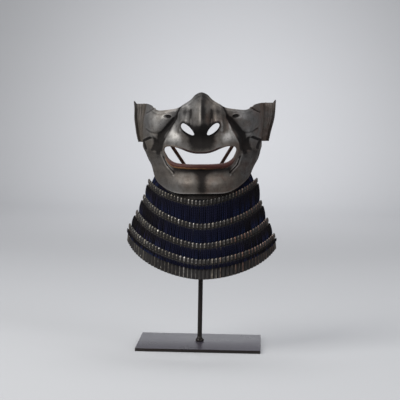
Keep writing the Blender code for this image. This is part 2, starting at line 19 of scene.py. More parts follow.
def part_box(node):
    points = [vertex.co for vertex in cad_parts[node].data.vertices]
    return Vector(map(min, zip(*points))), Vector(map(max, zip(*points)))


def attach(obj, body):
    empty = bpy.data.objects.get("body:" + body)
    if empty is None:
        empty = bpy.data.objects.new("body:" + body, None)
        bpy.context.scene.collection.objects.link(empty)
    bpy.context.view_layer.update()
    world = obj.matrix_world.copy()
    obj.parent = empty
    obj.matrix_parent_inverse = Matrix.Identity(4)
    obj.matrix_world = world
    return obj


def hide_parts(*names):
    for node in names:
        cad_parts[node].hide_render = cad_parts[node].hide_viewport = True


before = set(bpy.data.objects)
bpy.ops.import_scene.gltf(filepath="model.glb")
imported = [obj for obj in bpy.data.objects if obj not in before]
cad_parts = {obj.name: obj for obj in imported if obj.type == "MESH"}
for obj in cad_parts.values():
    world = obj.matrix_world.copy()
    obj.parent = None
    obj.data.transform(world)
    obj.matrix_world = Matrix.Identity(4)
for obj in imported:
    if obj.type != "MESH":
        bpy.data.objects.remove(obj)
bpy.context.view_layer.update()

bl_info = {
    "name": "Laced Face Guard",
    "version": (1, 0, 0),
    "blender": (4, 5, 0),
    "location": "View3D > Sidebar > Face Guard",
    "description": "Iron mask, lacquered scales, braids, stand and stage round a packed face guard",
    "category": "Add Mesh",
}

QUARTER = math.radians(90)
GAP = 0.0003

# Stand, read from the frame, and the chin's height above the post's top
BASE_LOW, BASE_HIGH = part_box("stand_base")
POST_LOW, POST_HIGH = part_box("stand_post")
CHIN_ABOVE_POST = 0.0089
CHIN_HEIGHT = POST_HIGH.z + CHIN_ABOVE_POST

# Mask: outer size, wall, and where its back edge lies
CHEEK_HALF_WIDTH = 0.075
FACE_HEIGHT = 0.127
FACE_DEPTH = 0.100
WALL = 0.0018
BACK_EDGE = 0.005
MASK_TILT = math.radians(1.5)
MASK_SHIFT = 0.004
ROUNDNESS = 2.2
MIDDLE_SPACING = 0.8

# Flange under the chin that carries the lacing, and the flanges at the sides
CHIN_FLANGE_INSET = 0.0085
CHIN_FLANGE_DROP = 0.0075
CHIN_FLANGE_TURN = math.radians(80)
SIDE_FLANGE_WIDTH = 0.0155
SIDE_RIM = 0.0025
SIDE_HORN = 0.0035
HORN_SHARPNESS = 8

# Nose, mouth, nostrils and the blind recesses beside the nose
NOSE_HALF_WIDTH = 0.028
NOSE_HEIGHT = 0.0185
MOUTH_HALF_WIDTH = 0.045
LIP_RADIUS = 0.0024
NOSTRIL_LENGTH = 0.0205
NOSTRIL_WIDTH = 0.0073
NOSTRIL_ANGLE = math.radians(43.6)
NOSTRIL_X = 0.0158
NOSTRIL_Z = 0.0820
NOSTRIL_BLUNTNESS = 0.18
RECESS_X = 0.0425
RECESS_Z = 0.0970
RECESS_WIDTH = 0.0062
RECESS_HEIGHT = 0.0042
RECESS_DEPTH = 0.0010

# Throat guard: lames of narrow scales, laced to the mask and to each other
GUARD_TURN = math.radians(-1)
GUARD_SHIFT = 0.0012
LAME_WALL = 0.0025
LAME_CENTRE = 0.012
LAME_END = math.radians(74)
LAME_OVERLAP = 0.008
SCALE_PITCH = 0.0054
RIB_DEPTH = 0.0005
HEAD_HEIGHT = 0.0075
HEAD_NOTCH = 0.0013
LACE_THICKNESS = 0.0015
LACE_SEAT = 0.0068
TOP_LACING_SPREAD = 0.97
RISE_POWER = 0.75
HEM_RISE_POWER = 0.87
ARC_STEPS = 60

# Rims from the top down, the lames' top edges and then the lowest one's bottom edge: how much wider each
# is than the one above it, how much further forward and how far below (the first one against the chin
# flange's foot), how much its ends rise, and how much its right end stands above its middle
RIM_STEPS = {
    "lame_1": {"wider": 0.0114, "forward": 0.0043, "below": 0.0006, "rise": 0.0252, "skew": 0.0021},
    "lame_2": {"wider": 0.0057, "forward": 0.005, "below": 0.0291, "rise": 0.0299, "skew": -0.0021},
    "lame_3": {"wider": 0.0086, "forward": 0.006, "below": 0.0241, "rise": 0.0329, "skew": -0.0032},
    "lame_4": {"wider": 0.0093, "forward": 0.006, "below": 0.0196, "rise": 0.0337, "skew": -0.0044},
    "hem": {"wider": 0.0020, "forward": 0.004, "below": 0.0255, "rise": 0.0370, "skew": -0.0030},
}
LAMES = ("lame_1", "lame_2", "lame_3", "lame_4")

# Plain row of lacing on the lowest lame, as shares of the lame's height below its top edge
SHORT_ROW = {"top": 0.30, "bottom": 0.50}

# Width and depth of the mask by height, as shares of FACE_HEIGHT, CHEEK_HALF_WIDTH and FACE_DEPTH
SECTIONS = {
    "height": (0.00, 0.10, 0.20, 0.27, 0.33, 0.39, 0.46, 0.60, 0.75, 0.85, 1.00),
    "width": (0.80, 0.803, 0.807, 0.833, 0.884, 0.927, 0.977, 0.987, 1.00, 1.00, 1.00),
    "depth": (0.86, 0.87, 0.84, 0.845, 0.858, 0.87, 0.865, 0.85, 0.82, 0.78, 0.68),
}

# Top edge: height as a share of FACE_HEIGHT, by distance from the middle as a share of CHEEK_HALF_WIDTH
TOP_EDGE = {
    "across": (0.00, 0.08, 0.16, 0.26, 0.41, 0.55, 0.68, 0.80, 0.87, 1.00),
    "height": (1.00, 0.980, 0.929, 0.890, 0.846, 0.831, 0.823, 0.850, 0.877, 0.889),
}

# Jaw edge by turn from the front, as a share of a right angle: height as a share of FACE_HEIGHT, and
# the chin flange's inset and drop as shares of its own sizes
JAW_EDGE = {
    "turn": (0.00, 0.28, 0.39, 0.50, 0.61, 0.72, 0.83, 0.91, 0.97, 1.00),
    "height": (0.00, 0.00, 0.012, 0.04, 0.08, 0.126, 0.197, 0.283, 0.378, 0.457),
    "inset": (1.00, 1.00, 0.95, 0.85, 0.70, 0.50, 0.30, 0.25, 0.25, 0.25),
    "drop": (1.00, 1.00, 1.00, 0.95, 0.85, 0.70, 0.55, 0.50, 0.50, 0.50),
}

# Nose: ridge by height (shares of FACE_HEIGHT and NOSE_HEIGHT) and how far its wings show there, and
# its section with and without wings (shares of NOSE_HALF_WIDTH and of the ridge)
NOSE_RIDGE = {
    "height": (0.50, 0.56, 0.60, 0.64, 0.675, 0.75, 0.83, 0.93, 1.00),
    "ridge": (0.00, 0.10, 0.36, 0.86, 1.00, 0.95, 0.88, 0.82, 0.72),
    "wings": (1.00, 1.00, 1.00, 1.00, 1.00, 0.90, 0.45, 0.05, 0.00),
}
NOSE_SECTION = {
    "across": (0.00, 0.22, 0.41, 0.60, 0.79, 1.00, 1.15),
    "winged": (1.00, 0.72, 0.42, 0.66, 0.56, 0.10, 0.00),
    "plain": (1.00, 0.80, 0.60, 0.40, 0.22, 0.05, 0.00),
}

# Soft swellings and hollows on each side: place as shares of CHEEK_HALF_WIDTH and FACE_HEIGHT, reach
# as shares of CHEEK_HALF_WIDTH, and height as a share of FACE_DEPTH
SWELLINGS = (
    {"name": "cheekbone", "across": 0.77, "up": 0.75, "reach": (0.21, 0.23), "height": 0.052},
    {"name": "muzzle", "across": 0.40, "up": 0.545, "reach": (0.17, 0.16), "height": 0.056},
    {"name": "philtrum", "across": 0.06, "up": 0.525, "reach": (0.16, 0.11), "height": -0.034},
    {"name": "chin", "across": 0.21, "up": 0.085, "reach": (0.17, 0.12), "height": 0.034},
    {"name": "under_lip", "across": 0.10, "up": 0.205, "reach": (0.45, 0.06), "height": -0.020},
    {"name": "jaw_muscle", "across": 0.83, "up": 0.36, "reach": (0.17, 0.16), "height": 0.022},
)

# Long hollows on each side: points as shares of CHEEK_HALF_WIDTH and FACE_HEIGHT, width of
# CHEEK_HALF_WIDTH and height of FACE_DEPTH. The first two are the part's own, the rest are chased lines
# with the grime and painted shade that lie in them, and negative where the beads are painted lighter,
# partly as rubbed wear and partly as painted highlight
FURROWS = (
    {"name": "cheek_furrow", "width": 0.070, "height": -0.054,
     "path": ((0.46, 0.75), (0.58, 0.68), (0.69, 0.60), (0.77, 0.50))},
    {"name": "smile_furrow", "width": 0.050, "height": -0.018,
     "path": ((0.69, 0.46), (0.70, 0.36), (0.60, 0.27), (0.50, 0.20))},
)
CHASED_LINES = (
    {"name": "bone_edge", "width": 0.022, "height": -0.010, "dirt": 0.40,
     "path": ((0.90, 0.635), (0.83, 0.608), (0.775, 0.593), (0.69, 0.61), (0.56, 0.69))},
    # Painted shade only: a dark band along the cheek groove's floor, with no height
    {"name": "groove_floor", "width": 0.055, "height": 0.000, "dirt": 0.85,
     "path": ((0.505, 0.735), (0.58, 0.675), (0.665, 0.605), (0.70, 0.545))},
    # Painted shade: a nearly black line in this shallow crease
    {"name": "cord_hook", "width": 0.016, "height": -0.018, "dirt": 2.4,
     "path": ((0.845, 0.550), (0.960, 0.515), (0.905, 0.440))},
    {"name": "outer_fold", "width": 0.020, "height": -0.014, "dirt": 0.8,
     "path": ((0.800, 0.545), (0.790, 0.435))},
    {"name": "inner_fold", "width": 0.020, "height": -0.012, "dirt": 0.8,
     "path": ((0.700, 0.505), (0.715, 0.400))},
    {"name": "fold_bead", "width": 0.026, "height": 0.012, "dirt": -0.4,
     "path": ((0.765, 0.543), (0.725, 0.505))},
    {"name": "muzzle_edge", "width": 0.020, "height": -0.008, "dirt": 0.4,
     "path": ((0.490, 0.70), (0.505, 0.63), (0.555, 0.565), (0.62, 0.51), (0.66, 0.43))},
    {"name": "temple_fold", "width": 0.016, "height": -0.011, "dirt": 0.4,
     "path": ((0.80, 0.838), (0.87, 0.812), (0.93, 0.795))},
    {"name": "wing_edge", "width": 0.022, "height": -0.012, "dirt": 0.5,
     "path": ((0.33, 0.870), (0.395, 0.815), (0.445, 0.765), (0.485, 0.705))},
    {"name": "nose_valley", "width": 0.016, "height": -0.005, "dirt": 0.12,
     "path": ((0.150, 0.830), (0.165, 0.668))},
    {"name": "valley_bead", "width": 0.008, "height": 0.004, "dirt": -0.5,
     "path": ((0.160, 0.735), (0.155, 0.660))},
    {"name": "wing_arch", "width": 0.030, "height": 0.005, "dirt": 0.12,
     "path": ((0.165, 0.84), (0.205, 0.868), (0.28, 0.866), (0.35, 0.82), (0.40, 0.75))},
    {"name": "outer_smile", "width": 0.013, "height": 0.008, "dirt": -0.5,
     "path": ((0.66, 0.385), (0.60, 0.278), (0.465, 0.178))},
    {"name": "middle_smile", "width": 0.016, "height": -0.010, "dirt": 0.6,
     "path": ((0.63, 0.360), (0.575, 0.279), (0.475, 0.205))},
    {"name": "inner_smile", "width": 0.012, "height": 0.007, "dirt": -0.4,
     "path": ((0.60, 0.339), (0.55, 0.280), (0.485, 0.232))},
    {"name": "chin_cleft", "width": 0.100, "height": -0.008, "dirt": 0.85,
     "path": ((0.00, 0.22), (0.00, 0.02))},
    {"name": "lip_shadow", "width": 0.060, "height": -0.006, "dirt": 0.65,
     "path": ((0.00, 0.232), (0.44, 0.240))},
)

# Low steps with soft edges: outline on each side in the same shares, edge width, height, and the grime and
# painted shade in them
CHASED_STEPS = (
    {"name": "cheek_hollow", "edge": 0.024, "height": -0.020, "dirt": 0.95,
     "outline": ((0.495, 0.750), (0.565, 0.700), (0.690, 0.612), (0.745, 0.590), (0.775, 0.545),
                 (0.770, 0.435), (0.705, 0.405), (0.650, 0.480), (0.570, 0.560), (0.515, 0.625),
                 (0.490, 0.700))},
    {"name": "wing_hollow", "edge": 0.060, "height": -0.016, "dirt": 0.38,
     "outline": ((0.195, 0.735), (0.190, 0.815), (0.235, 0.842), (0.315, 0.825), (0.365, 0.770),
                 (0.360, 0.715), (0.270, 0.705))},
    {"name": "nose_shade", "edge": 0.120, "height": -0.008, "dirt": 1.0,
     "outline": ((-0.3, 0.665), (0.07, 0.665), (0.17, 0.620), (0.25, 0.570), (0.25, 0.510),
                 (0.17, 0.430), (-0.3, 0.400))},
)

# Broad patches of painted light and shade on the given side, or on both: place and reach as for the
# swellings, and how much darker each is painted, negative for painted highlights, which on the muzzle
# also stand for iron rubbed bright
PATCHES = (
    {"name": "muzzle_rub_and_highlight", "side": 0, "across": 0.43, "up": 0.570, "reach": (0.19, 0.13), "dirt": -1.10},
    {"name": "left_chin", "side": -1, "across": 0.20, "up": 0.110, "reach": (0.12, 0.12), "dirt": 0.12},
    {"name": "right_chin", "side": 1, "across": 0.20, "up": 0.110, "reach": (0.10, 0.12), "dirt": -0.22},
    {"name": "left_cheek_highlight", "side": -1, "across": 0.73, "up": 0.740, "reach": (0.17, 0.17), "dirt": -0.5},
    {"name": "right_cheek", "side": 1, "across": 0.73, "up": 0.740, "reach": (0.20, 0.20), "dirt": 0.20},
    {"name": "brow", "side": 0, "across": 0.00, "up": 0.960, "reach": (0.22, 0.14), "dirt": 0.62},
    {"name": "right_nose", "side": 1, "across": 0.10, "up": 0.780, "reach": (0.10, 0.20), "dirt": 0.40},
    {"name": "left_nose", "side": -1, "across": 0.10, "up": 0.780, "reach": (0.10, 0.20), "dirt": 0.24},
    {"name": "nose_crest", "side": 0, "across": 0.00, "up": 0.830, "reach": (0.05, 0.26), "dirt": 0.40},
    {"name": "crest_shade", "side": 1, "across": 0.020, "up": 0.800, "reach": (0.035, 0.20), "dirt": 0.70},
    {"name": "crest_light", "side": -1, "across": 0.030, "up": 0.800, "reach": (0.045, 0.18), "dirt": -0.35},
    {"name": "nose_tip", "side": 0, "across": 0.00, "up": 0.640, "reach": (0.15, 0.07), "dirt": 0.75},
    {"name": "wing_top", "side": 0, "across": 0.28, "up": 0.800, "reach": (0.12, 0.07), "dirt": 0.30},
    {"name": "jaw_side", "side": 0, "across": 0.84, "up": 0.400, "reach": (0.20, 0.24), "dirt": 0.60},
    {"name": "jaw_foot", "side": 0, "across": 0.62, "up": 0.130, "reach": (0.22, 0.20), "dirt": 0.50},
    {"name": "right_jaw", "side": 1, "across": 0.70, "up": 0.330, "reach": (0.25, 0.25), "dirt": 0.08},
    {"name": "mouth_corner", "side": 0, "across": 0.66, "up": 0.440, "reach": (0.08, 0.12), "dirt": 0.35},
)

# Crest down the middle of the nose: where it runs, its height and how sharp it is
NOSE_CREST = {"low": 0.085, "high": 0.122, "height": 0.0019, "width": 0.0030, "fade": 0.008}

# Raised border along the top edge: how soft its lower edge is, and between which shares of the half width
# it fades out. Then the rims round the openings, the painted shade beside the nostrils and in the
# recesses, and how soft a one-sided patch is along the middle
BORDER_EDGE = 0.0009
BORDER_FADE = (0.80, 0.92)
NOSTRIL_RIM_REACH = 0.0016
MOUTH_RIM_REACH = 0.0022
MOUTH_RIM_HEIGHT = 0.0004
NOSTRIL_SHADE_REACH = 0.0026
RECESS_SHADE_REACH = 0.5
PATCH_EDGE = 0.0015

# The openings lie a little left of the middle, and the nostrils a little lower and plumper
OPENINGS_SHIFT = -0.0012
NOSTRIL_DROP = 0.0012
NOSTRIL_PLUMPER = 1.06

# How much wider than the part's plain form each side is, by height as a share of FACE_HEIGHT
SPREAD = {
    "height": (0.00, 0.10, 0.20, 0.27, 0.36, 0.47, 0.55, 0.70, 0.88),
    "left": (0.0070, 0.0080, 0.0080, 0.0065, 0.0055, 0.0070, 0.0068, 0.0034, 0.0000),
    "right": (-0.0030, 0.0005, 0.0030, 0.0028, 0.0010, 0.0000, 0.0000, 0.0000, 0.0000),
}

# Side flanges: shares of the web's width where the ridges of its pleats lie and their width, how wide each
# flange is at its foot, the height above the chin where it starts, how far its root is eased, how much
# darker its web between the pleats and its rim are painted, and the painted shade on the chin flange
FLANGE_RIDGES = (0.28, 0.57, 0.85)
FLANGE_RIDGE_WIDTH = 0.09
FLANGE_FOOT = {-1: 0.0052, 1: 0.008}
FLANGE_START = 0.0632
FLANGE_BLEND = 0.006
FLANGE_BLEND_ROUNDS = 12
WEB_DARKENING = 0.15
RIM_DARKENING = 0.5
CHIN_FLANGE_SHADE = 0.6

# Mouth, right half from the middle of the upper lip round the corner to the middle of the lower lip:
# shares of MOUTH_HALF_WIDTH and FACE_HEIGHT, and the lip's thickness as a share of LIP_RADIUS
MOUTH = {
    "across": (0.00, 0.18, 0.36, 0.53, 0.71, 0.87, 0.97, 1.00, 0.965, 0.90, 0.78, 0.64, 0.44, 0.22, 0.00),
    "height": (0.405, 0.408, 0.425, 0.451, 0.472, 0.475, 0.461, 0.429, 0.388, 0.345, 0.311, 0.292,
               0.285, 0.282, 0.282),
    "lip": (0.55, 0.55, 0.55, 0.55, 0.50, 0.45, 0.45, 0.50, 0.60, 0.75, 0.90, 1.00, 1.00, 1.00, 1.00),
}

# Rolled lip: the height above the chin where the lower lip begins and how softly, how much lower it lies,
# and the thickness of both as shares of the part's own
LIP_SPLIT = 0.050
LIP_BLEND = 0.012
LIP_DROP = 0.0020
UPPER_LIP = 0.95
LOWER_LIP = 1.38

# How the fine meshes are divided and smoothed, how deep the openings' edges go in walls, and how much
# standing proud counts as fully worn
OUTLINE_STEPS = 8
NOSTRIL_POINTS = 96
RECESS_EDGE = 0.0007
RECESS_SINK = 2.2
PLATE_COLUMNS = 210
PLATE_ROWS = 145
WEB_STEPS = 18
RIM_COLUMNS = 3
CHIN_STEPS_IN = 5
CHIN_STEPS_DOWN = 5
LIP_SIDES = 16
TURN_ROUNDS = 4
RELAX_RINGS = 4
INNER_ROUNDS = 6
OPENING_DEPTH = 1.2
WEAR_ROUNDS = 14
WEAR_DEPTH = 0.0004
SEAM = 1e-6
BACK_SEAM = 1e-5
SHARP_ANGLE = math.radians(40)

# Scales: columns in each, the section of its head from the top edge down (inset from the face, how deep
# the valley between two scales is and how bright the crest is rubbed), its face, and the plain end plates
SCALE_COLUMNS = 8
HEAD_PROFILE = (
    {"down": 0.0000, "inset": 0.0011, "valley": 0.0011, "rubbed": 0.9},
    {"down": 0.0004, "inset": 0.0004, "valley": 0.0014, "rubbed": 1.0},
    {"down": 0.0014, "inset": 0.0001, "valley": 0.0016, "rubbed": 0.8},
    {"down": 0.0030, "inset": 0.0000, "valley": 0.0016, "rubbed": 0.55},
    {"down": 0.0046, "inset": 0.0000, "valley": 0.0016, "rubbed": 0.75},
    {"down": 0.0060, "inset": 0.0001, "valley": 0.0014, "rubbed": 0.8},
    {"down": 0.0068, "inset": 0.0006, "valley": 0.0007, "rubbed": 0.1},
    {"down": 0.0075, "inset": 0.0010, "valley": 0.0005, "rubbed": 0.0},
)
FACE_ROWS = 6
FACE_START = 0.0088
EDGE_ROUNDING = 0.0005
RIB_ROUNDING = 1.5
CREST_SHARPNESS = 5
FACE_RUB = 0.55
RIB_SINK = 2.8
END_PLATE = math.radians(3.2)
END_DROP = 0.8
LAME_SEED = 11

# Braids: how many hang from a scale, and how evenly they are laid
BRAIDS_PER_SCALE = 2
LACE_SIDES = 8
LACE_STEPS = 6
LACE_SEED = 23
LACE_WANDER = 0.10
LACE_UNEVEN = 0.06
LACE_SHORTFALL = 0.03
LACE_PROBE = 1e-3
LACE_SQUARENESS = 0.85
LACE_CLEARANCE = 0.00004
ROW_SPREAD = 0.998
LACE_BULGE = 0.0012
TOP_BRAID_WIDER = 1.6
TOP_LACING_RISE = 0.003
BRAID_TURNS = 55
BRAID_ENDS = np.array((0.45, 0.9, 1.0, 1.0, 1.0, 0.9, 0.5))
BRAID_WIDTHS = np.array((0.8, 0.97, 1.0, 1.0, 1.0, 0.98, 0.85))

# Bare metal and primer along a row of scales, from its left end to its right end
SCALE_TONES = (
    (0.00, (0.27, 0.26, 0.25)),
    (0.16, (0.21, 0.19, 0.15)),
    (0.34, (0.19, 0.17, 0.14)),
    (0.50, (0.23, 0.22, 0.21)),
    (0.68, (0.19, 0.17, 0.14)),
    (0.82, (0.16, 0.085, 0.06)),
    (1.00, (0.13, 0.08, 0.065)),
)

# Stand: post and its weld bead, fork, and the corners broken on them. The bead goes by shares of the
# post's radius and heights, its ripples by their number and twist with height, the arms by shares of
# their run and of their radius
POST_RADIUS = 0.003
POST_CORNER = 0.0006
PLATE_TOP_SLOPE = 0.6
BEAD_PROFILE = ((1.75, 0.0000), (1.83, 0.0006), (1.80, 0.0015), (1.62, 0.0026), (1.32, 0.0038),
                (1.08, 0.0050), (1.00, 0.0062))
BEAD_HEIGHT = 0.0062
BEAD_RIPPLE = 0.09
BEAD_RIPPLES = 7
BEAD_TWIST = 900
LATHE_STEPS = 48
CORNER_STEPS = 4
HUB_RADIUS = 0.005
HUB_HEIGHT = 0.010
ARM_RADIUS = 0.002
ARM_SIDES = 24
ARM_PROFILE = ((0.00, 1.0), (0.07, 1.0), (0.085, 1.2), (0.10, 1.12), (0.5, 1.1), (0.93, 1.12), (0.96, 1.25),
               (1.00, 1.35))
ARM_SPREAD = math.radians(33.1)
ARM_FORWARD = math.radians(29)
FORK_LEAN = math.radians(1.4)
FORK_OFFSET = 0.0015
PAD_RADIUS = 0.00325
PAD_THICKNESS = 0.002
PAD_SEAT = 0.0008
PAD_CORNER = 0.0005

# Studio: floor and backdrop in one sweep, the pool of light painted on it after its stretch from front to
# back, how dark the paper is painted round it and how far that fades, lights, and the camera
FLOOR_STEPS = 60
FLOOR_FRONT = 3.0
FLOOR_BACK = 2.6
FLOOR_CURVE = 0.8
WALL_RISE = 2.5
FLOOR_HALF_WIDTH = 4.0
FLOOR_DROP = 0.0002
FLOOR_UNEVEN = 0.97
BACKDROP_SPOT = (-0.03, 1.8, 0.18)
BACKDROP_STRETCH = (1, 0.6, 1)
BACKDROP_DIM = 0.30
BACKDROP_REACH = 1.15
BACKDROP_FADE = 0.75
WORLD_COLOUR = (0.93, 0.95, 1.0)
WORLD_STRENGTH = 0.15
LIGHTS = {
    "key_light": {"place": (-1.25, -1.15, 1.25), "target": (0, 0, 0.24), "size": 1.3, "power": 46,
                  "colour": (1.0, 0.985, 0.96)},
    "top_light": {"place": (0.1, -0.1, 1.9), "target": (0, 0, 0.1), "size": 1.3, "power": 26,
                  "colour": (0.97, 0.98, 1.0)},
    "side_light": {"place": (1.25, -1.25, 0.95), "target": (0, 0, 0.22), "size": 0.7, "power": 12,
                   "colour": (0.98, 0.98, 1.0)},
    "backdrop_light": {"place": (0.0, 1.3, 2.4), "target": (0, 2.5, 0.1), "size": 1.6, "power": 48,
                       "colour": (0.98, 0.98, 1.0)},
}
CAMERA_FOCAL = 158.4
CAMERA_DISTANCE = 2.288
CAMERA_ELEVATION = math.radians(3.6)
CAMERA_AZIMUTH = math.radians(2.0)
CAMERA_ROLL = math.radians(1.0)
CAMERA_TARGET = Vector((-0.0027, 0, 0.1888))


def length_property(name, description, default):
    return FloatProperty(name=name, description=description, default=default, min=0, precision=5,
                         unit="LENGTH")


def colour_property(name, description, default):
    return FloatVectorProperty(name=name, description=description, default=default, size=3, min=0, max=1,
                               subtype="COLOR")


class GuardSizes(bpy.types.PropertyGroup):
    """Sizes of the fine work that a user would change"""

    border_width: length_property("Border width", "Width of the raised border along the top edge", 0.0042)
    border_height: length_property("Border height", "Height of that border above the plate", 0.0005)
    nostril_rim: length_property("Nostril rim", "Height of the rim round each nostril", 0.0007)
    pleat_height: length_property("Pleat height", "Height of the pleats down the side flanges", 0.0005)
    lace_width: length_property("Braid width", "Width of one flat silk braid", 0.0024)
    base_bevel: length_property("Base bevel", "Width of the broken edges of the base plate", 0.0004)


class GuardColours(bpy.types.PropertyGroup):
    """Colours of the finishes that a user would change"""

    iron: colour_property("Iron", "Blackened iron", (0.150, 0.147, 0.146))
    iron_warm: colour_property("Warm iron", "Browner patches of the iron", (0.124, 0.107, 0.092))
    iron_dark: colour_property("Dark iron", "Darker mottling of the iron", (0.045, 0.043, 0.036))
    # Also the colour of the painted highlights on the muzzle, the left cheek and the nose
    iron_bright: colour_property("Rubbed iron", "Iron where ridges are rubbed", (0.40, 0.39, 0.375))
    rust: colour_property("Russet", "Russet patches of the iron", (0.085, 0.048, 0.036))
    # Near-black for grime and pits, and for the painted shade under the scales' heads, along the braids'
    # sides and in the mask's shaded hollows
    dirt: colour_property("Dirt", "Dirt in hollows and pits", (0.006, 0.005, 0.005))
    inner_lacquer: colour_property("Inner lacquer", "Red lacquer inside the mask", (0.120, 0.016, 0.012))
    inner_lacquer_dark: colour_property("Dark inner lacquer", "Its brush marks", (0.050, 0.010, 0.009))
    lip: colour_property("Lip", "Red-brown lacquer of the lip", (0.060, 0.014, 0.009))
    lip_dark: colour_property("Dark lip", "Darker patches of the lip", (0.016, 0.007, 0.006))
    gilt: colour_property("Gilt", "Gold left on the lip", (0.38, 0.20, 0.09))
    scale: colour_property("Scale lacquer", "Black lacquer of the scales", (0.009, 0.009, 0.011))
    # Painted glints: bright worn metal on a few scale tips, more of them to the left, where the key light
    # falls
    glint: colour_property("Glint", "Bright metal on a few of the scales' tips", (0.62, 0.60, 0.56))
    scale_warm: colour_property("Worn scale lacquer", "Browner patches of it", (0.017, 0.014, 0.011))
    indigo: colour_property("Indigo", "Dark silk of the braids", (0.003, 0.004, 0.014))
    blue: colour_property("Blue", "Bluer silk of the braids", (0.013, 0.025, 0.080))
    violet: colour_property("Violet", "Faded violet silk of the braids", (0.030, 0.022, 0.052))
    lint: colour_property("Lint", "Pale fibres on the silk", (0.16, 0.16, 0.17))
    steel: colour_property("Steel", "Blackened steel of the stand", (0.040, 0.037, 0.043))
    steel_violet: colour_property("Violet steel", "Cooler clouds of that steel", (0.062, 0.055, 0.078))
    steel_worn: colour_property("Worn steel", "Fine bright scratches of it", (0.12, 0.115, 0.115))
    # Also painted on the base plate's sides as their shade
    rod: colour_property("Rod", "Darker steel of the post and the fork", (0.006, 0.006, 0.007))
    rod_brown: colour_property("Brown rod", "Browner clouds of that steel", (0.026, 0.018, 0.014))
    fork: colour_property("Fork", "Brown of the fork's arms", (0.22, 0.135, 0.090))
    floor: colour_property("Floor", "Pale floor and backdrop", (0.70, 0.71, 0.73))


def smooth_through(table, key, value, at):
    """Values of a table's column at places along its key column, on a curve without overshoot."""
    keys = np.array(table[key])
    values = np.array(table[value])
    steps = np.diff(keys)
    slopes = np.diff(values) / steps
    tangents = np.zeros(len(keys))
    rising = slopes[:-1] * slopes[1:] > 0
    means = 2 * slopes[:-1] * slopes[1:] / np.where(rising, slopes[:-1] + slopes[1:], 1)
    tangents[1:-1] = np.where(rising, means, 0)
    at = np.clip(at, keys[0], keys[-1])
    span = np.clip(np.searchsorted(keys, at, side="right") - 1, 0, len(steps) - 1)
    t = (at - keys[span]) / steps[span]
    ends = (2 * t**3 - 3 * t**2 + 1) * values[span] + (3 * t**2 - 2 * t**3) * values[span + 1]
    leans = (t**3 - 2 * t**2 + t) * tangents[span] + (t**3 - t**2) * tangents[span + 1]
    return ends + steps[span] * leans


def half_width(z):
    return CHEEK_HALF_WIDTH * smooth_through(SECTIONS, "height", "width", z / FACE_HEIGHT)


def middle_depth(z):
    return FACE_DEPTH * smooth_through(SECTIONS, "height", "depth", z / FACE_HEIGHT)


def top_edge(turn):
    return FACE_HEIGHT * smooth_through(TOP_EDGE, "across", "height", np.abs(np.sin(turn)))


def jaw(turn, column):
    return smooth_through(JAW_EDGE, "turn", column, np.abs(turn) / QUARTER)


def soft_step(value):
    """0 below 0, 1 above 1, and a smooth way between."""
    share = np.clip(value, 0, 1)
    return share * share * (3 - 2 * share)


def distance_to_path(x, y, path):
    """Distance from points to an open path, all in the same unit."""
    best = np.full(np.shape(x), np.inf)
    for start, end in zip(path, path[1:]):
        run_x = end[0] - start[0]
        run_y = end[1] - start[1]
        along = ((x - start[0]) * run_x + (y - start[1]) * run_y) / (run_x**2 + run_y**2)
        along = np.clip(along, 0, 1)
        best = np.minimum(best, np.hypot(x - start[0] - run_x * along, y - start[1] - run_y * along))
    return best


def nearest_on(outline, x, z):
    """Nearest places of a closed outline to points."""
    best = np.full(np.shape(x), np.inf)
    near_x = np.array(x)
    near_z = np.array(z)
    for start, end in zip(outline, closed(outline)[1:]):
        run_x = end[0] - start[0]
        run_z = end[1] - start[1]
        along = np.clip(((x - start[0]) * run_x + (z - start[1]) * run_z) / (run_x**2 + run_z**2), 0, 1)
        away = np.hypot(x - start[0] - run_x * along, z - start[1] - run_z * along)
        closer = away < best
        best = np.where(closer, away, best)
        near_x = np.where(closer, start[0] + run_x * along, near_x)
        near_z = np.where(closer, start[1] + run_z * along, near_z)
    return near_x, near_z


def closed(outline):
    return [*outline, outline[0]]


def inside_outline(x, y, outline):
    """True where points lie inside a closed outline."""
    inside = np.zeros(np.shape(x), bool)
    for (x0, y0), (x1, y1) in zip(outline, closed(outline)[1:]):
        if y0 != y1:
            crossed = (y0 > y) != (y1 > y)
            inside ^= crossed & (x < x0 + (y - y0) * (x1 - x0) / (y1 - y0))
    return inside


def in_widths(path):
    """A path's points in shares of CHEEK_HALF_WIDTH both ways."""
    return [(across, up * FACE_HEIGHT / CHEEK_HALF_WIDTH) for across, up in path]


def nose_and_swellings(x, z):
    """Height of the nose and the soft swellings above the mask's plain form."""
    across = np.abs(x) / CHEEK_HALF_WIDTH
    up = z / FACE_HEIGHT
    ridge = NOSE_HEIGHT * smooth_through(NOSE_RIDGE, "height", "ridge", up)
    wings = smooth_through(NOSE_RIDGE, "height", "wings", up)
    winged = smooth_through(NOSE_SECTION, "across", "winged", np.abs(x) / NOSE_HALF_WIDTH)
    plain = smooth_through(NOSE_SECTION, "across", "plain", np.abs(x) / NOSE_HALF_WIDTH)
    height = ridge * (plain + (winged - plain) * wings)
    for swelling in SWELLINGS:
        aside = (across - swelling["across"]) / swelling["reach"][0]
        above = (up - swelling["up"]) * FACE_HEIGHT / CHEEK_HALF_WIDTH / swelling["reach"][1]
        height = height + FACE_DEPTH * swelling["height"] * np.exp(-(aside**2) - above**2)
    return height


def lines(x, z, table, what="height"):
    """Height, as a share of FACE_DEPTH, or grime and painted shade of a table's furrows or chased lines."""
    across = np.abs(x) / CHEEK_HALF_WIDTH
    up = z / CHEEK_HALF_WIDTH
    total = 0
    for line in table:
        away = distance_to_path(across, up, in_widths(line["path"])) / line["width"]
        total = total + line[what] * np.exp(-(away**2))
    return total


